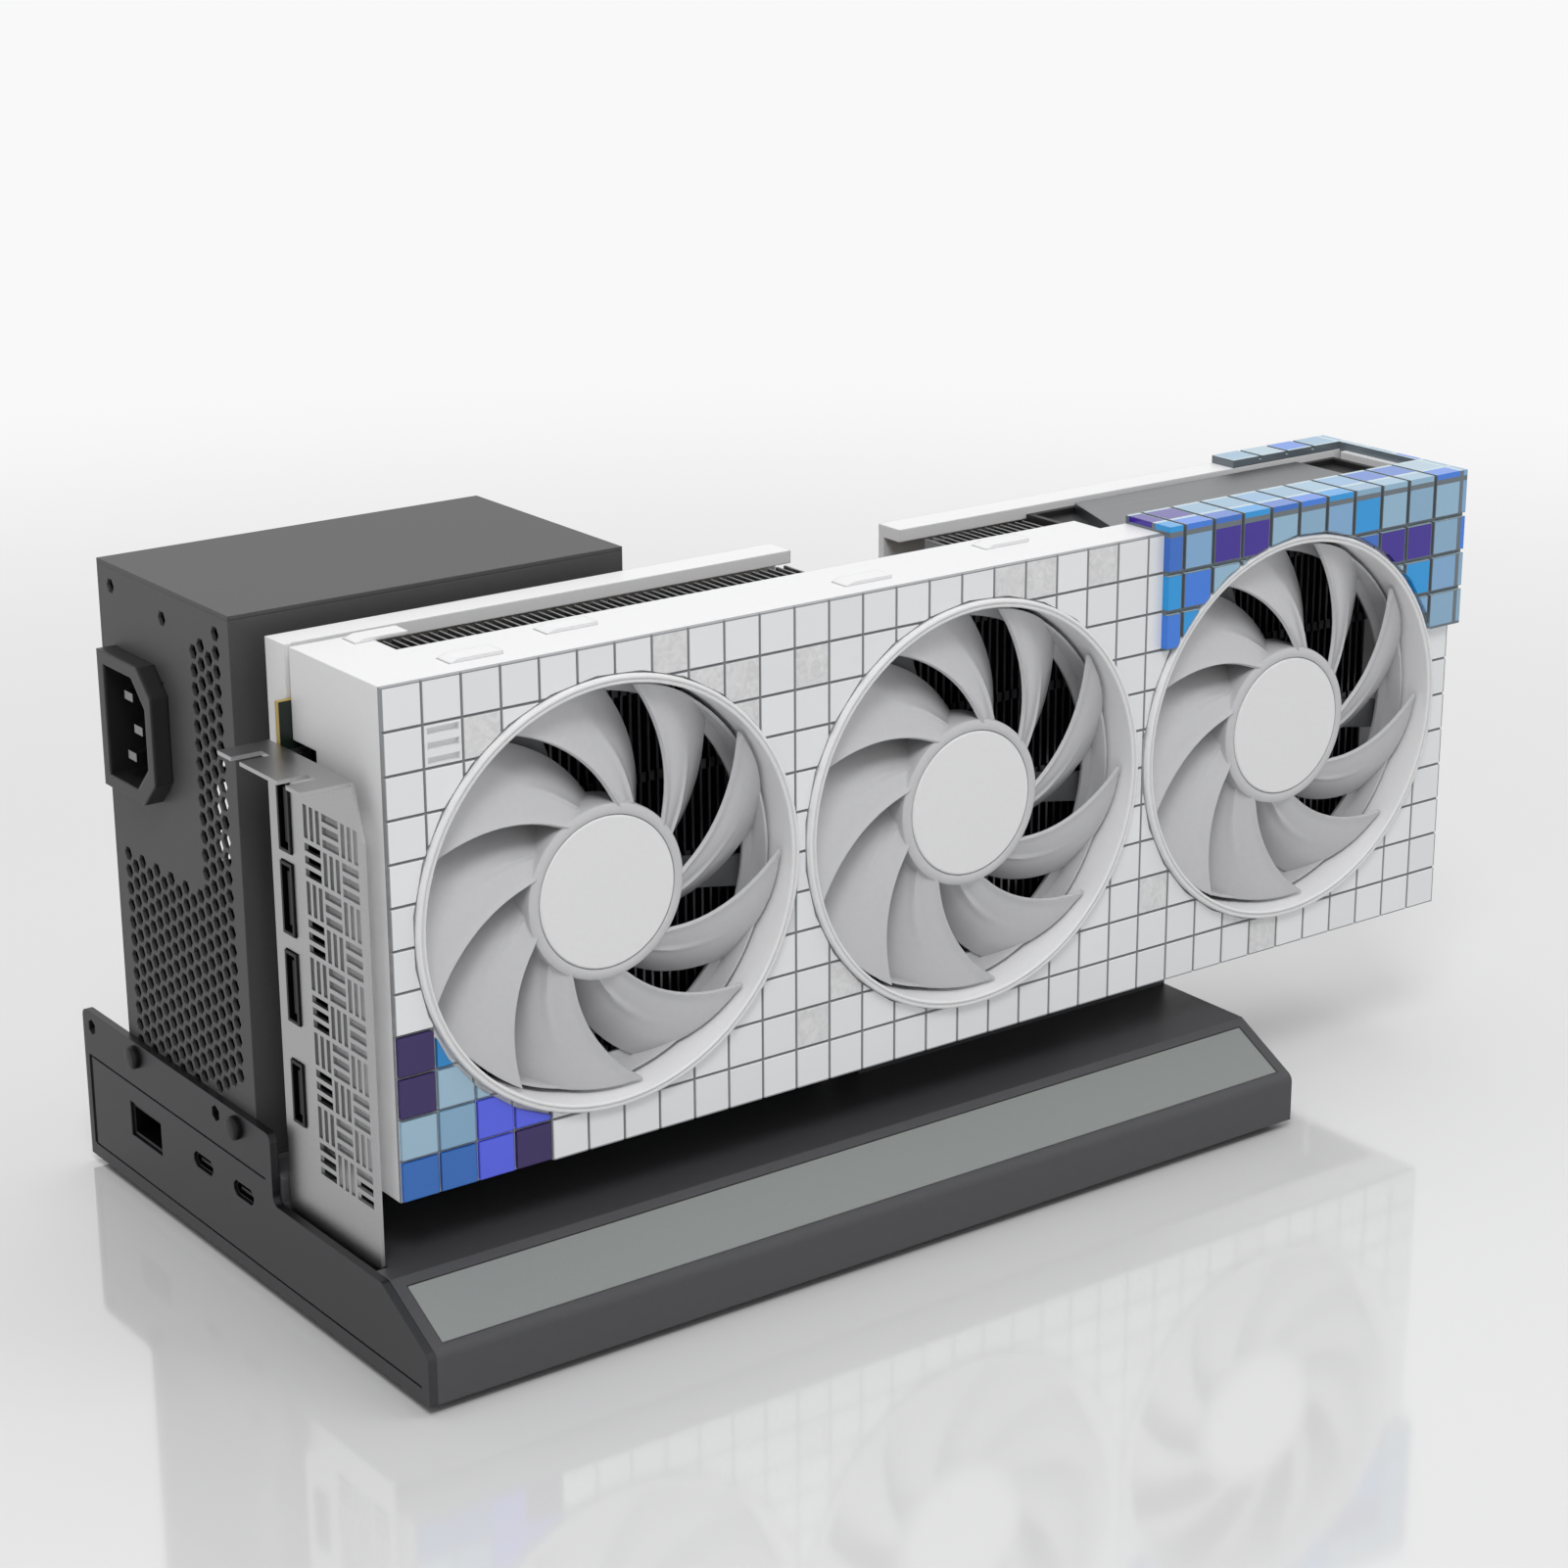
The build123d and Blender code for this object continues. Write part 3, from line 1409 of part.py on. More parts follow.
port_y = (board_face - display_deep, board_face)
port_x = (bracket_x[0] - port_proud, bracket_x[0] - port_proud + display_depth)


def socket_shell(z, tall):
    """Flat metal socket with a contact tongue, open towards the bracket's outer side."""
    limits = around(z, tall)
    body = block(port_x, port_y, limits)
    mouth_x = (port_x[0] - 1, port_x[1] - display_wall)
    body -= block(mouth_x, grown(port_y, -display_wall), grown(limits, -display_wall))
    tongue_y = around((port_y[0] + port_y[1]) / 2, display_tongue)
    return body + block((port_x[0] + display_wall, port_x[1]), tongue_y, grown(limits, -3 * display_wall))


def display_sockets():
    """The three like sockets up the bracket."""
    return joined([socket_shell(z, tall) for z, tall in port_places()[:-1]])


def video_socket():
    """The shorter socket below them."""
    return socket_shell(*port_places()[-1])


def bracket_face():
    """Bracket outline in Y and Z: two tapered tabs below, a cut corner at the top front."""
    front, back = bracket_y
    tip, top = bracket_z
    shoulder = tip + tab_tall
    points = [(back, top), (back, shoulder)]
    for edge in (back - rear_tab_offset, front + front_tab_offset + tab_width):
        points += [(edge, shoulder), (edge - tab_taper, tip)]
        points += [(edge - tab_width + tab_taper, tip), (edge - tab_width, shoulder)]
    points += [(front, shoulder), (front, top - bracket_corner_tall), (front + bracket_corner, top)]
    return outline(points)


def weave_slots():
    """Vent slots in square groups that turn by a quarter from one group to the next."""
    slots = []
    x = grown(bracket_x, 1)
    for i in range(weave_columns):
        for j in range(weave_rows):
            y0 = bracket_y[0] + weave_edge + i * weave_cell
            z0 = bracket_z[0] + weave_low + j * weave_cell_tall
            y1 = y0 + weave_cell - weave_inset
            z1 = z0 + weave_cell_tall - weave_inset
            if (i + j) % 2:
                for share in (0.25, 0.75):
                    slots.append(block(x, around(y0 + share * (y1 - y0), weave_slot), (z0, z1)))
            else:
                for share in (0.3, 0.7):
                    slots.append(block(x, (y0, y1), around(z0 + share * (z1 - z0), weave_slot)))
    return slots


def io_bracket():
    """Pressed bracket with a notched flange, socket openings, woven vents and two lugs."""
    plate = side_prism(bracket_face(), bracket_x)
    flange_x = (bracket_x[0] - flange_length, bracket_x[1])
    flange_y = (bracket_y[0] + bracket_corner, bracket_y[1])
    flange_z = (bracket_z[1] - bracket_thickness, bracket_z[1])
    plate += block(flange_x, flange_y, flange_z)
    for y in grown(flange_y, -flange_notch_inset):
        centre = flange_x[0] + flange_length / 2
        plate -= stud("z", centre, y, flange_notch_radius, grown(flange_z, 1))
        plate -= block((flange_x[0] - 1, centre), around(y, 2 * flange_notch_radius), grown(flange_z, 1))
    for z, tall in port_places():
        opening_z = grown(around(z, tall), port_clearance)
        plate -= block(grown(bracket_x, 1), grown(port_y, port_clearance), opening_z)
    plate -= weave_slots()
    hole = lug_screw_radius + screw_clearance
    lug_y = (board_face - bracket_thickness, board_face)
    for height in lug_heights:
        z = z_edge + height
        lug = block((bracket_x[1], bracket_x[1] + lug_length), lug_y, around(z, lug_tall))
        plate += lug - stud("y", bracket_x[1] + lug_length / 2, z, hole, grown(lug_y, 1))
    return plate


def bracket_screws():
    """Small screws that hold the bracket's lugs to the board."""
    places = [(bracket_x[1] + lug_length / 2, z_edge + height) for height in lug_heights]
    seat = board_face - bracket_thickness
    return screws("y", places, seat, 1, bracket_thickness, lug_screw_radius, lug_screw_head)


pieces = {
    "base_shell": base_shell(),
    "end_plate": end_plate(),
    "bottom_plate": bottom_plate(),
    "bottom_screws": bottom_screws(),
    "light_strip": light_strip(),
    "light_board": light_board(),
    "rest_mat": rest_mat(),
    "dock_board": dock_board(),
    "board_standoffs": board_standoffs(),
    "board_screws": board_screws(),
    "card_slot": card_slot(),
    "slot_latch": slot_latch(),
    "data_socket": data_socket(),
    "small_sockets": small_sockets(),
    "power_header": power_header(),
    "psu_tray": psu_tray(),
    "psu_cover": psu_cover(),
    "mains_inlet": mains_inlet(),
    "inlet_pins": inlet_pins(),
    "psu_fan_frame": psu_fan_frame(),
    "psu_fan_rotor": psu_fan_rotor(),
    "psu_board": psu_board(),
    "psu_board_posts": psu_board_posts(),
    "transformer": transformer(),
    "psu_heatsinks": psu_heatsinks(),
    "capacitors": capacitors(),
    "output_sockets": output_sockets(),
    "psu_screws": psu_screws(),
    "card_board": card_board(),
    "edge_contacts": edge_contacts(),
    "graphics_chip": graphics_chip(),
    "memory_chips": memory_chips(),
    "card_power_socket": card_power_socket(),
    "cold_plate": cold_plate(),
    "heat_pipes": heat_pipes(),
    "heatsink_fins": heatsink_fins(),
    "shroud": shroud(),
    "tile_face": tile_face(),
    "accent_tiles": accent_tiles(),
    "corner_cap": corner_cap(),
    "top_bar_frame": top_bar_frame(),
    "top_bar": top_bar(),
    "back_plate": back_plate(),
    "back_screws": back_screws(),
    "io_bracket": io_bracket(),
    "bracket_screws": bracket_screws(),
    "display_sockets": display_sockets(),
    "video_socket": video_socket(),
}
for side, centre in fan_centres.items():
    pieces[f"fan_mount_{side}"] = fan_mount(centre)
    pieces[f"fan_rotor_{side}"] = fan_rotor(centre)

os.makedirs("parts", exist_ok=True)
for name, piece in pieces.items():
    export_step(piece, f"parts/{name}.step")
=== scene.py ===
import json
import math

import bmesh
import bpy
from mathutils import Matrix, Vector

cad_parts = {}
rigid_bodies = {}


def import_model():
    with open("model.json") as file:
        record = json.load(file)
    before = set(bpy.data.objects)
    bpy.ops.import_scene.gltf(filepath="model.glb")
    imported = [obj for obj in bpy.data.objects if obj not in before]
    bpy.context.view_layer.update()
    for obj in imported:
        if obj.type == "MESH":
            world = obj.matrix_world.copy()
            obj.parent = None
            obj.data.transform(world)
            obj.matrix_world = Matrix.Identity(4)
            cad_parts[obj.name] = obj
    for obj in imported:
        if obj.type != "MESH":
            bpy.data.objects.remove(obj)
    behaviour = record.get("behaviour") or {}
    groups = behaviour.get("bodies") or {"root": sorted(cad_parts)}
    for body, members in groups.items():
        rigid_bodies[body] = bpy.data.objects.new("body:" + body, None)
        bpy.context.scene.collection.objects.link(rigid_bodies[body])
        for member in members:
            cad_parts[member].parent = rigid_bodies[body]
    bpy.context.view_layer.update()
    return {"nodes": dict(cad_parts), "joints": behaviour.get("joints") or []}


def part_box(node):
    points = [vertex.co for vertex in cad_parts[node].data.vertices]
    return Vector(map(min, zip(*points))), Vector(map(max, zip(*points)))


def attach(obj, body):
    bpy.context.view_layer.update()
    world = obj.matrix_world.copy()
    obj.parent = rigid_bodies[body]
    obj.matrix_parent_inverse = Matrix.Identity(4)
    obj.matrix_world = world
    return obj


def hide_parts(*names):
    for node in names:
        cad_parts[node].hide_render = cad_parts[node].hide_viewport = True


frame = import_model()
bpy.context.scene.view_settings.view_transform = "Standard"


# Bottom plate and its screws.
# Black powder-coated sheet steel, cut flat with snipped corners and screwed up into the shell's
# bosses; the powder leaves a fine orange-peel skin, and the zinc screws a cool grey shine.


def linear(code):
    """Linear colour of an sRGB hex code, fully opaque."""
    channels = [int(code[i : i + 2], 16) / 255 for i in (1, 3, 5)]
    light = [c / 12.92 if c <= 0.04045 else ((c + 0.055) / 1.055) ** 2.4 for c in channels]
    return (*light, 1.0)


def add_node(tree, kind, settings, links):
    """A node of a material with its settings, and links from other nodes' sockets into it."""
    node = tree.nodes.new(kind)
    for name, value in settings.items():
        if isinstance(name, int) or name in node.inputs:
            node.inputs[name].default_value = value
        else:
            setattr(node, name, value)
    for name, source in links.items():
        tree.links.new(source, node.inputs[name])
    return node


def shaded(name, **sockets):
    """New material with constants on its shader's sockets, its node tree and its shader."""
    material = bpy.data.materials.new(name)
    material.use_nodes = True
    shader = material.node_tree.nodes["Principled BSDF"]
    for socket, value in sockets.items():
        shader.inputs[socket.replace("_", " ")].default_value = value
    return material, material.node_tree, shader


def grained(
    name, light, dark, grain_mm, relief, edge_mm=0.35, drawn_out=(1.0, 1.0, 1.0), **sockets
):
    """Material whose colour and relief follow one grain of a real size, with rounded edges."""
    material, tree, shader = shaded(name, **sockets)
    place = add_node(tree, "ShaderNodeTexCoord", {}, {})
    drawn = add_node(
        tree,
        "ShaderNodeVectorMath",
        {"operation": "DIVIDE", 1: drawn_out},
        {0: place.outputs["Object"]},
    )
    grain = add_node(
        tree,
        "ShaderNodeTexNoise",
        {"Scale": 1000 / grain_mm, "Detail": 3.0, "Roughness": 0.6},
        {"Vector": drawn.outputs[0]},
    )
    tint = add_node(
        tree,
        "ShaderNodeMix",
        {"data_type": "RGBA", 6: linear(dark), 7: linear(light)},
        {0: grain.outputs["Fac"]},
    )
    rounded = add_node(tree, "ShaderNodeBevel", {"samples": 4, "Radius": edge_mm / 1000}, {})
    skin = add_node(
        tree,
        "ShaderNodeBump",
        {"Strength": relief, "Distance": grain_mm / 4000},
        {"Height": grain.outputs["Fac"], "Normal": rounded.outputs["Normal"]},
    )
    tree.links.new(tint.outputs[2], shader.inputs["Base Color"])
    tree.links.new(skin.outputs["Normal"], shader.inputs["Normal"])
    return material


def dress(material, *names):
    """Gives CAD nodes a material."""
    for name in names:
        slots = frame["nodes"][name].data.materials
        slots.clear()
        slots.append(material)


black_powder = grained(
    "black powder-coated steel", "#3d3d3e", "#353536", 0.9, 0.12, Roughness=0.5
)
dress(black_powder, "bottom_plate")
zinc = grained(
    "zinc-plated screw steel", "#a2a3a5", "#8d8e90", 0.6, 0.05, Metallic=1.0, Roughness=0.35
)
dress(zinc, "bottom_screws", "board_screws", "back_screws", "bracket_screws")
dress(zinc, "board_standoffs", "psu_board_posts")


# Base shell.
# One moulded shell with a satin dark grey paint: low nose, sloped front, card floor and raised
# L-shaped deck; its rounded edges catch a thin line of light.

dark_paint = grained(
    "satin dark grey paint", "#47474a", "#414143", 1.4, 0.04, edge_mm=0.6, Roughness=0.38
)
dress(dark_paint, "base_shell")


# Light strip.
# A light guide of moulded grey acrylic, set flush in the slope on a ledge; its frosted face spreads
# the light to one even grey without glints.

frosted_grey = grained("frosted grey acrylic", "#8b8f8d", "#868a88", 0.8, 0.02, Roughness=0.55)
dress(frosted_grey, "light_strip")


# Rest mat.
# Closed-cell foam rubber, cut to a rectangle and glued into a shallow pocket of the deck; its cut
# cells speckle it and swallow the light.

foam_rubber = grained("cut foam rubber", "#5a5a5a", "#1d1d1d", 1.6, 0.5, Roughness=0.9)
dress(foam_rubber, "rest_mat")


# Circuit boards.
# Glass-fibre board under black-green solder mask, which is glossy and slightly wavy over the
# copper; the sawn edges show the bare yellow fibre.


def facing_shares(tree):
    """How far a face looks along X, Y and Z, either way."""
    facing = add_node(tree, "ShaderNodeNewGeometry", {}, {})
    shares = add_node(
        tree,
        "ShaderNodeVectorMath",
        {"operation": "ABSOLUTE"},
        {0: facing.outputs["True Normal"]},
    )
    return add_node(tree, "ShaderNodeSeparateXYZ", {}, {0: shares.outputs[0]})


def board_skin(name, thin_axis):
    """Solder mask on the faces of a board that is thin along an axis, bare fibre on its edges."""
    material = grained(name, "#16241c", "#0e1712", 3.0, 0.1, Roughness=0.35)
    tree = material.node_tree
    skin = tree.nodes["Principled BSDF"].inputs["Base Color"]
    sawn = add_node(
        tree,
        "ShaderNodeMix",
        {"data_type": "RGBA", 6: linear("#b3983f")},
        {0: facing_shares(tree).outputs[thin_axis], 7: skin.links[0].from_socket},
    )
    tree.links.new(sawn.outputs[2], skin)
    return material


dress(board_skin("solder mask on flat glass fibre", "Z"), "dock_board")
upright_board = board_skin("solder mask on upright glass fibre", "Y")
dress(upright_board, "light_board", "psu_board", "card_board")


# Card slot, latch and headers.
# Glass-filled nylon, injection moulded and soldered to the board; the latch turns on its own pin.
# Matt black, with the fibres just breaking the surface.

black_nylon = grained(
    "black glass-filled nylon", "#262627", "#1b1b1c", 0.7, 0.1, edge_mm=0.2, Roughness=0.48
)
dress(black_nylon, "card_slot", "slot_latch", "power_header", "card_power_socket", "output_sockets")


# End plate.
# Anodised aluminium plate, scored with two hairlines and screwed to the end of the shell; the dark
# oxide leaves a fine metallic satin.

anodised = grained(
    "dark anodised aluminium", "#4c4c4e", "#454547", 0.5, 0.06, Metallic=1.0, Roughness=0.42
)
dress(anodised, "end_plate")


# Data sockets, port shells and other plated pieces.
# Stamped shells under dark plating, soldered to the boards, with moulded tongues; the inlet's
# blades and the cold plate have bright nickel, with a soft blur from the stamping.

bright_nickel = grained(
    "nickel-plated shell",
    "#8f8f90",
    "#7c7c7d",
    0.5,
    0.03,
    edge_mm=0.15,
    Metallic=1.0,
    Roughness=0.3,
)
dress(bright_nickel, "inlet_pins", "cold_plate")
dark_shell = grained(
    "dark plated shell",
    "#3a3a3c",
    "#303032",
    0.5,
    0.03,
    edge_mm=0.15,
    Metallic=1.0,
    Roughness=0.4,
)
dress(dark_shell, "data_socket", "small_sockets", "display_sockets", "video_socket")


# Power supply fixing screws.
# Pan-head steel screws under black oxide, driven through the end plate; their rounded rims catch a
# thin ring of light.


def new_piece(name, mesh_builder, material, body, *stands_for):
    """Object from a finished bmesh, riding on a body and standing for CAD nodes."""
    mesh = bpy.data.meshes.new(name)
    mesh_builder.to_mesh(mesh)
    mesh_builder.free()
    mesh.materials.append(material)
    piece = bpy.data.objects.new(name, mesh)
    bpy.context.scene.collection.objects.link(piece)
    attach(piece, body)
    if stands_for:
        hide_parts(*stands_for)
    return piece


def smooth_shade(piece, degrees):
    """Smooth faces that keep the edges sharper than an angle crisp."""
    piece.data.polygons.foreach_set("use_smooth", [True] * len(piece.data.polygons))
    piece.data.set_sharp_from_angle(angle=math.radians(degrees))


def pan_screw(builder, centre, outward, radius, height):
    """Screw head with a rounded rim, facing along an outward axis."""
    turn = Vector(outward).to_track_quat("Z", "Y").to_matrix().to_4x4()
    place = Matrix.Translation(centre) @ turn
    made = bmesh.ops.create_cone(
        builder,
        cap_ends=True,
        segments=24,
        radius1=radius,
        radius2=radius,
        depth=height,
        matrix=place,
    )["verts"]
    level = place.inverted()
    rim = [e for e in builder.edges if all(v in made and (level @ v.co).z > 0 for v in e.verts)]
    bmesh.ops.bevel(
        builder,
        geom=rim,
        offset=height * 0.45,
        segments=3,
        profile=0.5,
        affect="EDGES",
        material=-1,
    )


black_screw = grained(
    "black oxide screw",
    "#333334",
    "#282829",
    0.5,
    0.05,
    edge_mm=0.1,
    Metallic=1.0,
    Roughness=0.4,
)
screw_low, screw_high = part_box("psu_screws")
screw_radius = 2.8e-3
screw_height = 1.6e-3
screw_mesh = bmesh.new()
for y in (screw_low.y + screw_radius, screw_high.y - screw_radius):
    head_centre = (screw_low.x + screw_height / 2, y, (screw_low.z + screw_high.z) / 2)
    pan_screw(screw_mesh, head_centre, (-1, 0, 0), screw_radius, screw_height)
psu_screws = new_piece("power_supply_screws", screw_mesh, black_screw, "dock", "psu_screws")
smooth_shade(psu_screws, 30)


# Power supply tray.
# Folded sheet steel, matt under a fine black powder coat: the inlet end is punched with a honeycomb
# of vents and screw holes, the near side is plain, the far end is cut for the sockets.


def add_box(builder, low, high):
    """Box between two corners, added to a bmesh; gives back its vertices."""
    size = Vector(high) - Vector(low)
    middle = (Vector(low) + Vector(high)) / 2
    place = Matrix.Translation(middle) @ Matrix.Diagonal((*size, 1.0))
    return bmesh.ops.create_cube(builder, size=1.0, matrix=place)["verts"]


def thicken(builder, along):
    """Gives a flat sheet its thickness along a vector."""
    made = bmesh.ops.extrude_face_region(builder, geom=builder.faces[:], use_keep_orig=True)
    moved = [v for v in made["geom"] if isinstance(v, bmesh.types.BMVert)]
    bmesh.ops.translate(builder, verts=moved, vec=along)
    bmesh.ops.recalc_face_normals(builder, faces=builder.faces)


psu_powder = grained(
    "fine black powder coat", "#484848", "#404040", 0.7, 0.16, edge_mm=0.5, Roughness=0.5
)
tray_low, tray_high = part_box("psu_tray")
sheet = 1.0e-3
vent_pitch = 4.2e-3
vent_web = 1.1e-3
hexagon_bulge = vent_pitch * 0.144
end_y = (tray_low.y + sheet, tray_high.y)
vent_columns = round((end_y[1] - end_y[0]) / (vent_pitch * math.cos(math.radians(30))))
half_rows = 2 * round((tray_high.z - tray_low.z) / vent_pitch)
vent_wall = bmesh.new()
bmesh.ops.create_grid(vent_wall, x_segments=vent_columns, y_segments=half_rows, size=1.0)
spot = {}
for v in vent_wall.verts:
    i = round((v.co.x + 1) / 2 * vent_columns)
    k = round((v.co.y + 1) / 2 * half_rows)
    spot[v] = (i, k)
    bulge = hexagon_bulge * (1 if (i + k) % 2 == 0 else -1) * (0 < i < vent_columns)
    y = end_y[0] + i / vent_columns * (end_y[1] - end_y[0]) + bulge
    v.co = (tray_low.x, y, tray_low.z + k / half_rows * (tray_high.z - tray_low.z))
strip_y, strip_z = (4.0, 20.5), (55.0, 116.0)
field_y, field_z = (4.0, 60.0), (8.0, 57.0)
field_cut, cut_slope = 22.0, 0.45
screw_holes = ((6, 118), (31, 118), (57, 118), (56, 4))
screw_hole_reach = 2.1


def vented(y, z):
    """Whether a place on the inlet end, in millimetres from its near lower corner, is punched."""
    strip = strip_y[0] < y < strip_y[1] and strip_z[0] < z < strip_z[1]
    field_low = field_z[0] + max(0, field_cut - y) * cut_slope
    field = field_y[0] < y < field_y[1] and field_low < z < field_z[1]
    hole = any(math.hypot(y - a, z - b) < screw_hole_reach for a, b in screw_holes)
    return strip or field or hole


cell_edges = []
for e in vent_wall.edges:
    (i, k), (other_i, other_k) = spot[e.verts[0]], spot[e.verts[1]]
    middle = (e.verts[0].co + e.verts[1].co) / 2 - tray_low
    across_cell = k == other_k and (k - min(i, other_i)) % 2
    if across_cell and vented(middle.y * 1000, middle.z * 1000):
        cell_edges.append(e)
bmesh.ops.dissolve_edges(vent_wall, edges=cell_edges, use_verts=False)
vents = [f for f in vent_wall.faces if len(f.verts) == 6]
bmesh.ops.inset_individual(vent_wall, faces=vents, thickness=vent_web / 2, use_even_offset=True)
inlet_low, inlet_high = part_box("mains_inlet")
inlet_middle = (inlet_low + inlet_high) / 2
inlet_half_y, inlet_half_z, inlet_corner = 11.3, 14.3, 20.5


def behind_inlet(point):
    """Whether a place on the inlet end lies behind the mains socket's flange."""
    y, z = (point.y - inlet_middle.y) * 1000, (point.z - inlet_middle.z) * 1000
    return abs(y) < inlet_half_y and abs(z) < inlet_half_z and y - abs(z) > -inlet_corner


opened = vents + [
    f for f in vent_wall.faces if f not in vents and behind_inlet(f.calc_center_median())
]
bmesh.ops.delete(vent_wall, geom=opened, context="FACES")
thicken(vent_wall, (sheet, 0, 0))
out_low, out_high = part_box("output_sockets")
socket_gap = 0.3e-3
cut_y = (out_low.y - socket_gap, out_high.y + socket_gap)
side_y = tray_low.y + sheet
far_x = tray_high.x - sheet
add_box(vent_wall, tray_low, (tray_high.x, side_y, tray_high.z))
add_box(vent_wall, (far_x, side_y, tray_low.z), (tray_high.x, cut_y[0], tray_high.z))
add_box(vent_wall, (far_x, cut_y[1], tray_low.z), tray_high)
output_count = 5
output_pitch = 22.0e-3
output_half = (out_high.z - out_low.z - (output_count - 1) * output_pitch) / 2
bar_low = tray_low.z
for i in range(output_count + 1):
    socket_z = out_low.z + output_half + i * output_pitch
    bar_high = tray_high.z if i == output_count else socket_z - output_half - socket_gap
    add_box(vent_wall, (far_x, cut_y[0], bar_low), (tray_high.x, cut_y[1], bar_high))
    bar_low = socket_z + output_half + socket_gap
new_piece("vented_tray", vent_wall, psu_powder, "dock", "psu_tray")


# Power supply cover.
# The other half of the folded steel case: top, fan side and underside in one sheet, slotted over
# the fan, under the same matt powder coat.

dress(psu_powder, "psu_cover")


# Mains inlet.
# Black moulded nylon socket with a cut-cornered flange, snapped into the tray; smooth enough for a
# soft shine, with three plated blades bright inside it.

socket_nylon = grained(
    "moulded black socket nylon", "#232324", "#19191a", 0.7, 0.06, edge_mm=1.0, Roughness=0.36
)
dress(socket_nylon, "mains_inlet")


# Power supply fan and inside.
# Black moulded frame and rotor behind the slots, over a board with a taped transformer, bare
# aluminium heat sinks that glint through the vents, and capacitors in glossy shrink sleeves.

dress(black_nylon, "psu_fan_frame", "psu_fan_rotor", "transformer")
milled = grained(
    "bare milled aluminium", "#b9babb", "#a9aaab", 0.6, 0.06, Metallic=1.0, Roughness=0.4
)
dress(milled, "psu_heatsinks")
sleeve_blue = grained("shrink sleeve", "#1f2430", "#181c26", 2.0, 0.03, Roughness=0.25)
dress(sleeve_blue, "capacitors")


# Chips and edge contacts.
# Matt packages of moulded epoxy, soldered to the card's board, and hard gold plating on its edge,
# which keeps a warm metal shine.

epoxy = grained("moulded epoxy", "#1d1e20", "#161718", 0.5, 0.1, Roughness=0.5)
dress(epoxy, "graphics_chip", "memory_chips")
hard_gold = grained(
    "hard gold plate",
    "#c9a257",
    "#b98f45",
    0.5,
    0.02,
    edge_mm=0.05,
    Metallic=1.0,
    Roughness=0.25,
)
dress(hard_gold, "edge_contacts")


# Heat pipes.
# Bare sintered copper tubes, soldered across the cold plate and through the fins; they show as warm
# brown bands through the slots of the back plate.

copper = grained(
    "sintered copper pipe", "#7a5140", "#6b4638", 0.8, 0.05, Metallic=1.0, Roughness=0.38
)
dress(copper, "heat_pipes")


# Heatsink fins.
# Stamped aluminium plates, anodised dark and stacked on the pipes, taller where the card's top is
# open; folded tabs lock them in level rows, and each edge draws a thin light line.

fin_metal = grained(
    "dark anodised fin",
    "#939395",
    "#7e7e80",
    0.5,
    0.04,
    edge_mm=0.05,
    Metallic=1.0,
    Roughness=0.34,
)
fin_low, fin_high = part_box("heatsink_fins")
fin_pitch = 2.3e-3
fin_thickness = 0.6e-3
fin_base = 1.0e-3
fin_rear = fin_low.y + 13.5e-3
fin_top = fin_high.z - 5.0e-3
crest_low = fin_high.z - 18.0e-3
crests = ((fin_low.x, 0.0132), (0.0512, 0.084))
fold_rows = 5
fold_depth = 0.4e-3
fold_wide = 0.62 * fin_pitch
fold_tall = 2.2e-3
fin_front = fin_low.y + fold_depth
fin_mesh = bmesh.new()
add_box(fin_mesh, (fin_low.x, fin_rear - fin_base, fin_low.z), (fin_high.x, fin_rear, fin_top))
for i in range(int((fin_high.x - fin_low.x) / fin_pitch)):
    left = fin_low.x + i * fin_pitch
    right = left + fin_thickness
    add_box(fin_mesh, (left, fin_front, fin_low.z), (right, fin_rear - fin_base, fin_top))
    for j in range(fold_rows):
        z = fin_low.z + (j + 0.5) / fold_rows * (fin_top - fin_low.z)
        add_box(fin_mesh, (left, fin_low.y, z), (left + fold_wide, fin_front, z + fold_tall))
    if any(low <= left and right <= high for low, high in crests):
        add_box(fin_mesh, (left, fin_front, fin_top), (right, fin_high.y, fin_high.z))
        add_box(fin_mesh, (left, fin_rear, crest_low), (right, fin_high.y, fin_top))
new_piece("fin_stack", fin_mesh, fin_metal, "card", "heatsink_fins")


# Shroud.
# Satin white ABS moulding with the three fan ducts in one piece; each duct has a proud round lip
# with a fine groove that draws a grey line, and snap tongues stand on the top strip.

white_abs = grained("satin white ABS", "#ececed", "#e7e7e8", 1.2, 0.03, edge_mm=0.5, Roughness=0.36)
dress(white_abs, "shroud")
shroud_low, shroud_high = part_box("shroud")
tongue_size = Vector((13.0e-3, 5.5e-3, 0.8e-3))
tongue_ramp = 2.5e-3
tongue_places = ((20, 8), (48, 15), (122, 8), (168, 15), (12, 33))
tongue_mesh = bmesh.new()
for along, back in tongue_places:
    corner = Vector((shroud_low.x + along / 1000, shroud_low.y + back / 1000, shroud_high.z))
    tongue = add_box(tongue_mesh, corner, corner + tongue_size)
    for v in tongue:
        if v.co.z > corner.z + tongue_size.z / 2 and v.co.x < corner.x + tongue_size.x / 2:
            v.co.x += tongue_ramp
new_piece("snap_tongues", tongue_mesh, white_abs, "card")
fan_axes = {j["child"]: Vector(j["pos_m"]) for j in frame["joints"] if j["parent"] == "card"}
duct_radius = 46.85e-3
duct_wall = 0.8e-3
duct_long = 14.5e-3
lip_radius = 48.82e-3
lip_back = 1.15e-3
lip_front = -0.35e-3
lip_round = (0.1e-3, 0.35e-3, 0.2e-3)
groove_radius = 47.75e-3
groove_top, groove_floor = 0.24e-3, 0.16e-3
groove_depth = -0.04e-3
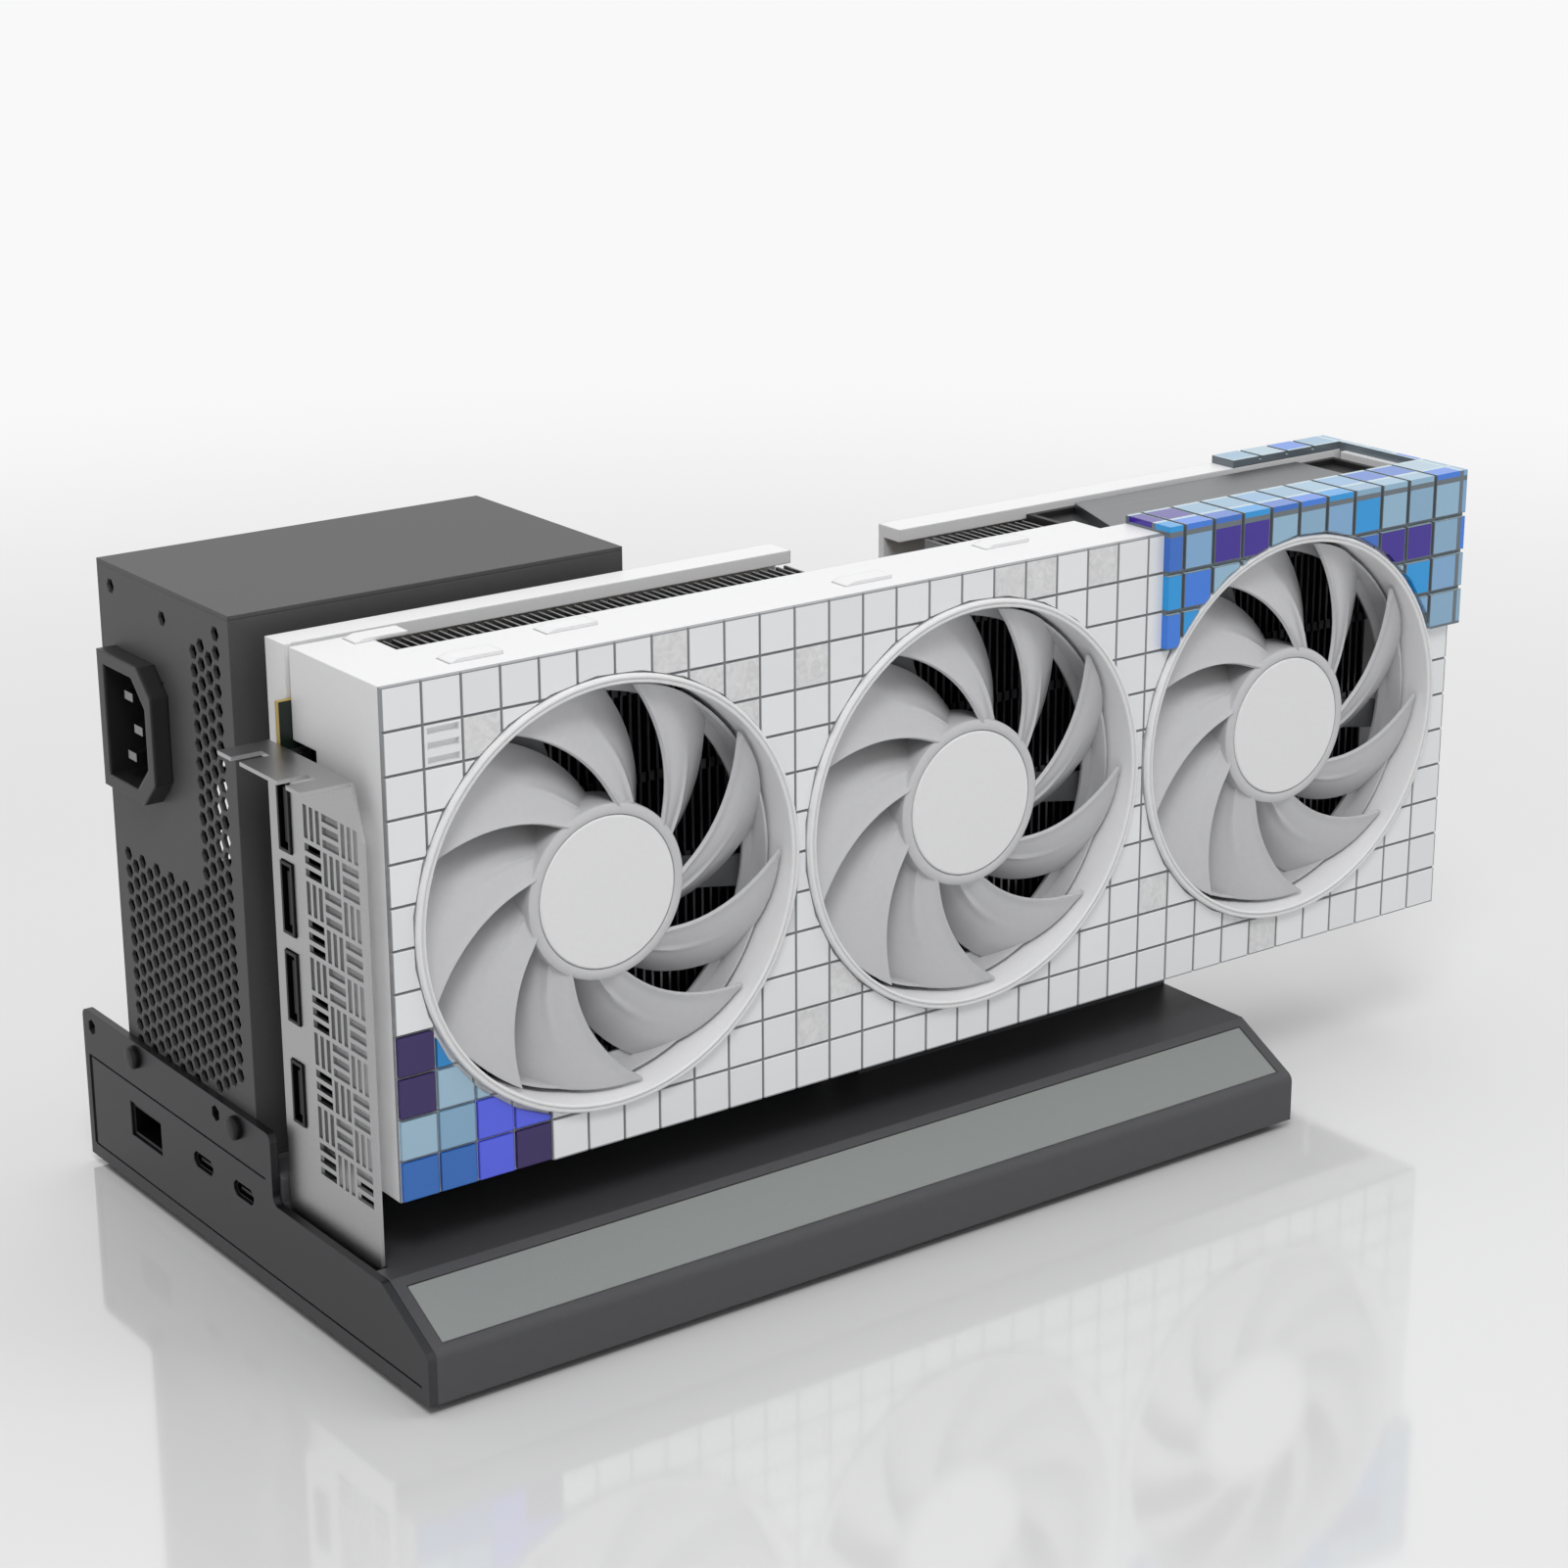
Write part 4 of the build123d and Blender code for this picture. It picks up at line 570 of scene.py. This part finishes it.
rim_path = [
    (duct_radius, duct_long),
    (duct_radius, lip_round[2]),
    (duct_radius + lip_round[0], -lip_round[2]),
    (duct_radius + lip_round[1], lip_front),
    (groove_radius - groove_top, lip_front),
    (groove_radius - groove_floor, groove_depth),
    (groove_radius + groove_floor, groove_depth),
    (groove_radius + groove_top, lip_front),
    (lip_radius - lip_round[1], lip_front),
    (lip_radius - lip_round[0], -lip_round[2]),
    (lip_radius, lip_round[2]),
    (lip_radius, lip_back),
    (duct_radius + duct_wall, lip_back),
    (duct_radius + duct_wall, duct_long),
    (duct_radius, duct_long),
]


def turned(builder, path, centre, front):
    """Round solid about a fan's axis, from a profile of radii and depths behind a front plane."""
    ring = [builder.verts.new((centre.x + r, front + y, centre.z)) for r, y in path]
    edges = [builder.edges.new(pair) for pair in zip(ring, ring[1:])]
    bmesh.ops.spin(
        builder,
        geom=ring + edges,
        cent=centre,
        axis=(0, 1, 0),
        angle=math.tau,
        steps=96,
        use_merge=True,
    )
    bmesh.ops.remove_doubles(builder, verts=builder.verts, dist=1e-6)
    bmesh.ops.recalc_face_normals(builder, faces=builder.faces)


rim_mesh = bmesh.new()
for axis in fan_axes.values():
    turned(rim_mesh, rim_path, axis, shroud_low.y)
smooth_shade(new_piece("fan_rims", rim_mesh, white_abs, "card"), 50)


# Tile face.
# Glazed ceramic-look tiles in one moulded sheet, clipped to the shroud: square, white and glossy
# with grey joints; a few are marbled.

tile_low, tile_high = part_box("tile_face")
tile_columns, tile_rows = 33, 12
tile_size = Vector(
    ((tile_high.x - tile_low.x) / tile_columns, 1.0, (tile_high.z - tile_low.z) / tile_rows)
)
tile_joint = 0.6e-3
marbled_from = 0.9
vein_mm = 2.6


def tile_cells(tree, origin, size):
    """Place of a point, the number of its square cell from an origin and its place inside it."""
    place = add_node(tree, "ShaderNodeTexCoord", {}, {})
    shift = add_node(
        tree,
        "ShaderNodeVectorMath",
        {"operation": "SUBTRACT", 1: origin},
        {0: place.outputs["Object"]},
    )
    count = add_node(
        tree, "ShaderNodeVectorMath", {"operation": "DIVIDE", 1: size}, {0: shift.outputs[0]}
    )
    cell = add_node(tree, "ShaderNodeVectorMath", {"operation": "FLOOR"}, {0: count.outputs[0]})
    inside = add_node(
        tree, "ShaderNodeVectorMath", {"operation": "FRACTION"}, {0: count.outputs[0]}
    )
    return place, cell, inside


def joint_mask(tree, inside, axes, width_share):
    """1 on the joint lines between cells along some of the axes, 0 on the tiles."""
    centred = add_node(
        tree,
        "ShaderNodeVectorMath",
        {"operation": "SUBTRACT", 1: (0.5, 0.5, 0.5)},
        {0: inside.outputs[0]},
    )
    away = add_node(
        tree, "ShaderNodeVectorMath", {"operation": "ABSOLUTE"}, {0: centred.outputs[0]}
    )
    split = add_node(tree, "ShaderNodeSeparateXYZ", {}, {0: away.outputs[0]})
    edge = split.outputs[axes[0]]
    for axis in axes[1:]:
        larger = add_node(
            tree,
            "ShaderNodeMath",
            {"operation": "MAXIMUM"},
            {0: edge, 1: split.outputs[axis]},
        )
        edge = larger.outputs[0]
    return add_node(
        tree,
        "ShaderNodeMath",
        {"operation": "GREATER_THAN", 1: 0.5 - width_share / 2},
        {0: edge},
    )


glazed, tree, shader = shaded("glazed white tile", Roughness=0.22)
place, cell, inside = tile_cells(tree, tuple(tile_low), tuple(tile_size))
draw = add_node(
    tree, "ShaderNodeTexWhiteNoise", {"noise_dimensions": "3D"}, {"Vector": cell.outputs[0]}
)
marbled = add_node(
    tree,
    "ShaderNodeMath",
    {"operation": "GREATER_THAN", 1: marbled_from},
    {0: draw.outputs["Value"]},
)
veins = add_node(
    tree,
    "ShaderNodeTexNoise",
    {"Scale": 1000 / vein_mm, "Detail": 5.0, "Distortion": 1.5},
    {"Vector": place.outputs["Object"]},
)
marble = add_node(
    tree,
    "ShaderNodeMix",
    {"data_type": "RGBA", 6: linear("#c3c3c4"), 7: linear("#f2f2f3")},
    {0: veins.outputs["Fac"]},
)
white = add_node(
    tree,
    "ShaderNodeMix",
    {"data_type": "RGBA", 6: linear("#eeeff0"), 7: linear("#e6e8ea")},
    {0: draw.outputs["Value"]},
)
glaze = add_node(
    tree,
    "ShaderNodeMix",
    {"data_type": "RGBA"},
    {0: marbled.outputs[0], 6: white.outputs[2], 7: marble.outputs[2]},
)
lines = joint_mask(tree, inside, "XZ", tile_joint / tile_size.x)
tiled = add_node(
    tree,
    "ShaderNodeMix",
    {"data_type": "RGBA", 7: linear("#8f9194")},
    {0: lines.outputs[0], 6: glaze.outputs[2]},
)
tree.links.new(tiled.outputs[2], shader.inputs["Base Color"])
dress(glazed, "tile_face")


# Accent tiles.
# Loose glass tiles in seven blues, glued into a pocket at the lower corner; each is painted on its
# back, so it shows a deep, even colour under a clear gloss.

blues = ("#438cf4", "#2b6cc0", "#32205f", "#86aecb", "#5664ee", "#a0c0d5", "#1f88cc")
blues_shift = (3.0, 0.0, 5.0)
tile_edge = 0.4e-3


def tile_colours(tree, cell, shift, colours):
    """Ramp that gives each cell one of several colours at random."""
    moved = add_node(
        tree, "ShaderNodeVectorMath", {"operation": "ADD", 1: shift}, {0: cell.outputs[0]}
    )
    draw = add_node(
        tree, "ShaderNodeTexWhiteNoise", {"noise_dimensions": "3D"}, {"Vector": moved.outputs[0]}
    )
    ramp = add_node(tree, "ShaderNodeValToRGB", {}, {"Fac": draw.outputs["Value"]})
    ramp.color_ramp.interpolation = "CONSTANT"
    ramp.color_ramp.elements[0].color = linear(colours[0])
    ramp.color_ramp.elements[1].position = 1 / len(colours)
    ramp.color_ramp.elements[1].color = linear(colours[1])
    for i, code in enumerate(colours[2:], start=2):
        ramp.color_ramp.elements.new(i / len(colours)).color = linear(code)
    return ramp


glass_tile, tree, shader = shaded("back-painted glass tile", Roughness=0.16)
_, cell, _ = tile_cells(tree, tuple(tile_low), tuple(tile_size))
ramp = tile_colours(tree, cell, blues_shift, blues)
rounded = add_node(tree, "ShaderNodeBevel", {"samples": 4, "Radius": tile_edge}, {})
tree.links.new(ramp.outputs["Color"], shader.inputs["Base Color"])
tree.links.new(rounded.outputs["Normal"], shader.inputs["Normal"])
dress(glass_tile, "accent_tiles")


# Corner cap.
# Clear moulded acrylic over blue foil squares, clipped round the far top corner; grooves part its
# squares in grey, with a painted highlight that turns them pale where they face up.

cap_blues = ("#93bcda", "#3f86f0", "#b4d0e2", "#3576d8", "#9fc6e0", "#1fa4f0", "#3d22a0", "#8ab8e2")
cap_joint = 1.3e-3
cap_reach = 40
cap_overhang = 0.6
cap_size = (tile_size.x, tile_size.x, tile_size.z)
cap_origin = (
    tile_high.x - cap_reach * tile_size.x,
    tile_low.y - cap_overhang * tile_size.x,
    tile_high.z - tile_rows * tile_size.z,
)
clear_cap, tree, shader = shaded(
    "clear acrylic over blue foil", Roughness=0.08, IOR=1.49, Transmission_Weight=0.12
)
_, cell, inside = tile_cells(tree, cap_origin, cap_size)
ramp = tile_colours(tree, cell, (0.0, 0.0, 0.0), cap_blues)
lines = joint_mask(tree, inside, "XYZ", cap_joint / tile_size.x)
# Joint colour by facing: grey on faces that look sideways, and a pale painted highlight on faces
# that look up.
joint_with_painted_top_highlight = add_node(
    tree,
    "ShaderNodeMix",
    {"data_type": "RGBA", 6: linear("#6f7a82"), 7: linear("#c6dfe8")},
    {0: facing_shares(tree).outputs["Z"]},
)
foil = add_node(
    tree,
    "ShaderNodeMix",
    {"data_type": "RGBA"},
    {0: lines.outputs[0], 6: ramp.outputs["Color"], 7: joint_with_painted_top_highlight.outputs[2]},
)
rounded = add_node(tree, "ShaderNodeBevel", {"samples": 4, "Radius": tile_edge}, {})
tree.links.new(foil.outputs[2], shader.inputs["Base Color"])
tree.links.new(rounded.outputs["Normal"], shader.inputs["Normal"])
dress(clear_cap, "corner_cap")


# Top bar and its frame.
# Grey aluminium strip with a slanted end, laid in a black moulded frame between the shroud and the
# back plate; brushing along the card draws its sheen out lengthwise.

brushed_grey = grained(
    "brushed grey aluminium",
    "#8b8d90",
    "#75777a",
    0.5,
    0.05,
    drawn_out=(60.0, 1.0, 1.0),
    Metallic=1.0,
    Roughness=0.36,
)
dress(brushed_grey, "top_bar")
dress(black_nylon, "top_bar_frame")


# Fan mounts.
# Grey glass-filled nylon spiders behind the rotors: a hub seat with the shaft, held by slim arms in
# the ducts; matt, so the arms stand out softly from the dark fins.

grey_nylon = grained(
    "grey glass-filled nylon", "#77787a", "#6c6d6f", 0.7, 0.08, edge_mm=0.3, Roughness=0.5
)
dress(grey_nylon, "fan_mount_left", "fan_mount_middle", "fan_mount_right")


# Fan rotors and hub caps.
# Silver-white moulded nylon: a cup hub with swept, cambered blades that a thin ring joins at their
# tips; satin, with long soft highlights. A flat white cap is pressed into the front of each hub.

fan_silver = grained("silver-white moulded nylon", "#cbcbcd", "#c4c4c6", 1.5, 0.01, Roughness=0.22)
cap_white = grained("satin white nylon", "#ebebec", "#e6e6e7", 1.2, 0.02, Roughness=0.34)
blade_count = 9
blade_sweep, sweep_curve, blade_wrap = 40.0, 0.85, 34.0
blade_thickness = 1.0e-3
blade_camber = 1.6e-3
blade_front_gap, blade_back_gap = 0.4e-3, 1.8e-3
rib_rise, rib_width, rib_end = 0.9e-3, 0.05, 0.7
edge_rise, edge_width = 0.4e-3, 0.07
hub_radius = 20.0e-3
hub_wall = 1.2e-3
hub_back_gap = 1.0e-3
hub_face = 0.1e-3
hub_bevel = ((0.9e-3, hub_face), (0.2e-3, 0.6e-3), (0.0, 1.4e-3))
root_overlap = 0.8e-3
cap_radius = 17.2e-3
cap_seat = 1.0e-3
cap_gap, cap_lip = 0.2e-3, 0.5e-3
cap_round = 0.3e-3
ring_start = 0.45
ring_gap, ring_back_gap = 0.1e-3, 0.3e-3
ring_wall, ring_root = 0.8e-3, 1.2e-3
ring_flange = 3.6e-3
flange_edge, flange_root = 0.8e-3, 1.1e-3


def blade(builder, front, back, tip):
    """One swept blade on a grid: chord along one side, span along the other, then thickened."""
    root = hub_radius - root_overlap
    pitch_depth = back - front - blade_front_gap - blade_back_gap
    bmesh.ops.create_grid(builder, x_segments=28, y_segments=14, size=1.0)
    for v in builder.verts:
        chord = (v.co.x + 1) / 2
        span = (v.co.y + 1) / 2
        radius = root + span * (tip - root)
        turn = math.radians(blade_sweep * span**sweep_curve - blade_wrap * (1 - chord))
        camber = blade_camber * math.sin(math.pi * chord)
        rib = math.exp(-(((chord - 0.5) / rib_width) ** 2)) * max(0.0, 1 - span / rib_end)
        edge = math.exp(-(((1 - chord) / edge_width) ** 2))
        depth = front + blade_front_gap + pitch_depth * (1 - chord)
        depth -= camber + rib_rise * rib + edge_rise * edge
        v.co = (radius * math.cos(turn), max(depth, front), radius * math.sin(turn))
    faces = builder.faces[:]
    bmesh.ops.recalc_face_normals(builder, faces=faces)
    bmesh.ops.solidify(builder, geom=faces, thickness=blade_thickness)


for side in ("left", "middle", "right"):
    low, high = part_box(f"fan_rotor_{side}")
    centre = fan_axes[f"fan_{side}"]
    tip = min(high.z - centre.z, centre.z - low.z)
    front = low.y
    rotor = bmesh.new()
    blade(rotor, front, high.y, tip)
    bmesh.ops.spin(
        rotor,
        geom=rotor.verts[:] + rotor.edges[:] + rotor.faces[:],
        cent=(0, 0, 0),
        axis=(0, 1, 0),
        angle=math.tau * (blade_count - 1) / blade_count,
        steps=blade_count - 1,
        use_duplicate=True,
    )
    depth = high.y - low.y
    hub_path = [
        (0.0, cap_seat),
        (cap_radius + cap_gap, cap_seat),
        (cap_radius + cap_gap, cap_round),
        (cap_radius + cap_lip, hub_face),
        *[(hub_radius - inward, y) for inward, y in hub_bevel],
        (hub_radius, depth - hub_back_gap),
        (hub_radius - hub_wall, depth - hub_back_gap),
        (hub_radius - hub_wall, cap_seat + hub_wall),
        (0.0, cap_seat + hub_wall),
    ]
    cap_path = [
        (0.0, 0.0),
        (cap_radius - cap_round, 0.0),
        (cap_radius, cap_round),
        (cap_radius, cap_seat),
        (0.0, cap_seat),
    ]
    ring_front, ring_back = ring_start * depth, depth - ring_back_gap
    tip_ring = [
        (tip - ring_gap, ring_front),
        (tip - ring_gap, ring_back),
        (tip - ring_flange, ring_back),
        (tip - ring_flange, ring_back - flange_edge),
        (tip - ring_root, ring_back - flange_root),
        (tip - ring_wall, ring_front),
        (tip - ring_gap, ring_front),
    ]
    bmesh.ops.translate(rotor, verts=rotor.verts, vec=(centre.x, 0.0, centre.z))
    turned(rotor, hub_path, centre, front)
    turned(rotor, tip_ring, centre, front)
    swept = new_piece(
        f"swept_rotor_{side}", rotor, fan_silver, f"fan_{side}", f"fan_rotor_{side}"
    )
    smooth_shade(swept, 40)
    cap = bmesh.new()
    turned(cap, cap_path, centre, front)
    smooth_shade(new_piece(f"hub_cap_{side}", cap, cap_white, f"fan_{side}"), 40)


# Back plate.
# White painted aluminium sheet, bent over at its ends and top rail and screwed to the board, with
# long slots where the cooler blows through; the paint is an even satin.

white_paint = grained(
    "white painted aluminium", "#eeeeef", "#e8e8e9", 1.0, 0.04, edge_mm=0.4, Roughness=0.4
)
dress(white_paint, "back_plate")


# Slot bracket.
# Pressed steel under satin nickel: woven groups of three vent slots, socket openings, two tapered
# tabs below, a notched flange folded out for the case screws and two lugs folded in to the board.

satin_nickel = grained(
    "satin nickel plate",
    "#bcbcbd",
    "#aaaaab",
    0.5,
    0.05,
    edge_mm=0.12,
    Metallic=1.0,
    Roughness=0.34,
)
bracket_low, bracket_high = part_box("io_bracket")
bracket_sheet = 0.9e-3
flange_long = 11.4e-3
plate_x = (bracket_low.x + flange_long, bracket_low.x + flange_long + bracket_sheet)
shoulder = bracket_low.z + 10.7e-3
weave_y, weave_z = bracket_low.y + 1.6e-3, bracket_low.z + 25.0e-3
weave_columns, weave_rows = 3, 10
cell_wide, cell_tall = 8.0e-3, 8.55e-3
web = 0.55e-3
bar_shares = (0.31, 0.69)
port_low, port_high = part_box("display_sockets")
port_gap = 0.25e-3
port_y = (port_low.y - port_gap, port_high.y + port_gap)
ports_mm = ((52.2, 14.6), (76.7, 16.4), (97.0, 16.4), (115.8, 16.4))
port_z = [
    ((z - tall / 2) / 1000 - port_gap, (z + tall / 2) / 1000 + port_gap) for z, tall in ports_mm
]
tab_wide = 7.6e-3
tab_taper = 0.2
tab_backs = (bracket_high.y - 4.2e-3, bracket_low.y + 15.0e-3)
tabs_y = [(back - tab_wide, back) for back in tab_backs]
corner_z = bracket_high.z - 12.0e-3
corner_slope = 3.0


def cell_lines(start, size, count):
    """Edges of the slots and bars across a run of woven cells."""
    bars = [web + share * (size - 2 * web) + side * web for share in bar_shares for side in (-1, 1)]
    marks = (0.0, web, *bars, size - web)
    edges = [start + i * size + mark for i in range(count) for mark in marks]
    return [*edges, start + count * size]


def pierced(y, z):
    """Whether a place on the bracket lies in a slot, in a socket opening or beside its tabs."""
    if z < shoulder:
        return not any(low < y < high for low, high in tabs_y)
    if port_y[0] < y < port_y[1]:
        return any(low < z < high for low, high in port_z)
    column, across = divmod(y - weave_y, cell_wide)
    row, up = divmod(z - weave_z, cell_tall)
    if not (0 <= column < weave_columns and 0 <= row < weave_rows):
        return False
    if not (web < across < cell_wide - web and web < up < cell_tall - web):
        return False
    along, size = (across, cell_wide) if (column + row) % 2 else (up, cell_tall)
    return all(abs(along - web - share * (size - 2 * web)) > web for share in bar_shares)


woven_y = cell_lines(weave_y, cell_wide, weave_columns)
woven_z = cell_lines(weave_z, cell_tall, weave_rows)
tab_edges = [y for tab in tabs_y for y in tab]
port_edges = [z for port in port_z for z in port]
lines_y = sorted([bracket_low.y, *woven_y, *port_y, bracket_high.y, *tab_edges])
lines_z = sorted([bracket_low.z, shoulder, *woven_z, corner_z, bracket_high.z, *port_edges])
columns, rows = len(lines_y) - 1, len(lines_z) - 1
bracket_mesh = bmesh.new()
bmesh.ops.create_grid(bracket_mesh, x_segments=columns, y_segments=rows, size=1.0)
for v in bracket_mesh.verts:
    i = round((v.co.x + 1) / 2 * columns)
    k = round((v.co.y + 1) / 2 * rows)
    v.co = (plate_x[0], lines_y[i], lines_z[k])
centres = {f: f.calc_center_median() for f in bracket_mesh.faces}
openings = [f for f, c in centres.items() if pierced(c.y, c.z)]
bmesh.ops.delete(bracket_mesh, geom=openings, context="FACES")
for v in bracket_mesh.verts:
    if v.co.z < shoulder - 1.0e-4:
        low, high = min(tabs_y, key=lambda tab: abs(v.co.y - sum(tab) / 2))
        v.co.y += tab_taper * ((low + high) / 2 - v.co.y)
bmesh.ops.bisect_plane(
    bracket_mesh,
    geom=bracket_mesh.verts[:] + bracket_mesh.edges[:] + bracket_mesh.faces[:],
    dist=1.0e-5,
    plane_co=(plate_x[0], bracket_low.y, corner_z),
    plane_no=(0.0, -corner_slope, 1.0),
    clear_outer=True,
)
thicken(bracket_mesh, (bracket_sheet, 0, 0))
flange_z = (bracket_high.z - bracket_sheet, bracket_high.z)
flange_y = (bracket_low.y + 4.0e-3, bracket_high.y)
notch_x = bracket_low.x + 7.0e-3
notch_from, notch_to = 6.1e-3, 9.9e-3
fingers_y = (
    (flange_y[0], flange_y[0] + notch_from),
    (flange_y[0] + notch_to, flange_y[1] - notch_to),
    (flange_y[1] - notch_from, flange_y[1]),
)
add_box(bracket_mesh, (notch_x, flange_y[0], flange_z[0]), (plate_x[0], flange_y[1], flange_z[1]))
for low_y, high_y in fingers_y:
    add_box(bracket_mesh, (bracket_low.x, low_y, flange_z[0]), (notch_x, high_y, flange_z[1]))
lug_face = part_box("card_board")[0].y
lug_screws_low, lug_screws_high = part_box("bracket_screws")
lug_screw_head = 1.9e-3
lug_half = 2.25e-3
for z in (lug_screws_low.z + lug_screw_head, lug_screws_high.z - lug_screw_head):
    lug_low = (plate_x[1], lug_face - bracket_sheet, z - lug_half)
    add_box(bracket_mesh, lug_low, (bracket_high.x, lug_face, z + lug_half))
new_piece("woven_bracket", bracket_mesh, satin_nickel, "card", "io_bracket")


# Floor, light and camera.
# A white studio floor with a mirror gloss that fades into even white far from the object; a soft
# overhead light, a key at the left, a fill at the right, and the camera at the photograph's place.


def shows_studio(tree):
    """1 for rays that show the studio itself, from the camera or in gloss and glass; else 0."""
    ray = add_node(tree, "ShaderNodeLightPath", {}, {})
    gloss = add_node(
        tree,
        "ShaderNodeMath",
        {"operation": "MAXIMUM"},
        {0: ray.outputs["Is Glossy Ray"], 1: ray.outputs["Is Transmission Ray"]},
    )
    return add_node(
        tree,
        "ShaderNodeMath",
        {"operation": "MAXIMUM"},
        {0: ray.outputs["Is Camera Ray"], 1: gloss.outputs[0]},
    )


studio_white = "#f9f9f9"
fade_from, fade_to = 0.3, 1.0
floor_white, tree, shader = shaded("white studio floor", Roughness=0.07, IOR=2.2)
place = add_node(tree, "ShaderNodeTexCoord", {}, {})
haze = add_node(tree, "ShaderNodeTexNoise", {"Scale": 2.0}, {"Vector": place.outputs["Object"]})
pale = add_node(
    tree,
    "ShaderNodeMix",
    {"data_type": "RGBA", 6: linear("#dedede"), 7: linear("#e2e2e2")},
    {0: haze.outputs["Fac"]},
)
tree.links.new(pale.outputs[2], shader.inputs["Base Color"])
away = add_node(
    tree, "ShaderNodeVectorMath", {"operation": "LENGTH"}, {0: place.outputs["Object"]}
)
fade = add_node(
    tree,
    "ShaderNodeMapRange",
    {"From Min": fade_from, "From Max": fade_to, "interpolation_type": "SMOOTHSTEP"},
    {"Value": away.outputs["Value"]},
)
seen = shows_studio(tree)
faded = add_node(
    tree,
    "ShaderNodeMath",
    {"operation": "MULTIPLY"},
    {0: fade.outputs["Result"], 1: seen.outputs[0]},
)
even = add_node(tree, "ShaderNodeEmission", {"Color": linear(studio_white)}, {})
blend = add_node(
    tree,
    "ShaderNodeMixShader",
    {},
    {0: faded.outputs[0], 1: shader.outputs[0], 2: even.outputs[0]},
)
tree.links.new(blend.outputs[0], tree.nodes["Material Output"].inputs["Surface"])
floor_gap = 0.2e-3
floor_mesh = bmesh.new()
bmesh.ops.create_grid(floor_mesh, x_segments=1, y_segments=1, size=8.0)
floor_data = bpy.data.meshes.new("studio_floor")
floor_mesh.to_mesh(floor_data)
floor_mesh.free()
floor_data.materials.append(floor_white)
floor = bpy.data.objects.new("studio_floor", floor_data)
floor.location.z = -floor_gap
bpy.context.scene.collection.objects.link(floor)

world = bpy.data.worlds.new("studio")
bpy.context.scene.world = world
world.use_nodes = True
tree = world.node_tree
sky = tree.nodes["Background"]
sky.inputs["Color"].default_value = linear("#ffffff")
sky.inputs["Strength"].default_value = 0.44
wall = add_node(
    tree, "ShaderNodeBackground", {"Color": linear(studio_white), "Strength": 1.0}, {}
)
seen = shows_studio(tree)
studio = add_node(
    tree,
    "ShaderNodeMixShader",
    {},
    {0: seen.outputs[0], 1: sky.outputs[0], 2: wall.outputs[0]},
)
tree.links.new(studio.outputs[0], tree.nodes["World Output"].inputs["Surface"])


def soft_light(name, place, target, size, watts):
    """Square area light that faces a target and stays out of reflections."""
    data = bpy.data.lights.new(name, "AREA")
    data.size = size
    data.energy = watts
    light = bpy.data.objects.new(name, data)
    light.location = place
    light.rotation_mode = "QUATERNION"
    light.rotation_quaternion = (Vector(place) - Vector(target)).to_track_quat("Z", "Y")
    light.visible_glossy = False
    bpy.context.scene.collection.objects.link(light)


soft_light("overhead", (0.1, 0.2, 1.6), (0.0, 0.0, 0.05), 1.4, 8.0)
soft_light("key", (-0.7, -0.95, 1.6), (0.0, 0.0, 0.08), 0.6, 14.0)
soft_light("fill", (1.2, -0.9, 1.4), (0.0, 0.0, 0.08), 0.9, 4.0)

photo_width, focal_length = 1601, 3467.2
camera_data = bpy.data.cameras.new("photo_camera")
camera_data.sensor_width = 36.0
camera_data.lens = camera_data.sensor_width * focal_length / photo_width
camera = bpy.data.objects.new("photo_camera", camera_data)
azimuth, elevation, roll = math.radians(-36.143), math.radians(18.115), math.radians(-0.302)
level = math.cos(elevation)
look = Vector((-math.sin(azimuth) * level, math.cos(azimuth) * level, -math.sin(elevation)))
tilt = Matrix.Rotation(roll, 3, "Z").to_quaternion()
camera.location = (-0.4351, -0.6329, 0.3440)
camera.rotation_mode = "QUATERNION"
camera.rotation_quaternion = look.to_track_quat("-Z", "Y") @ tilt
bpy.context.scene.collection.objects.link(camera)
bpy.context.scene.camera = camera
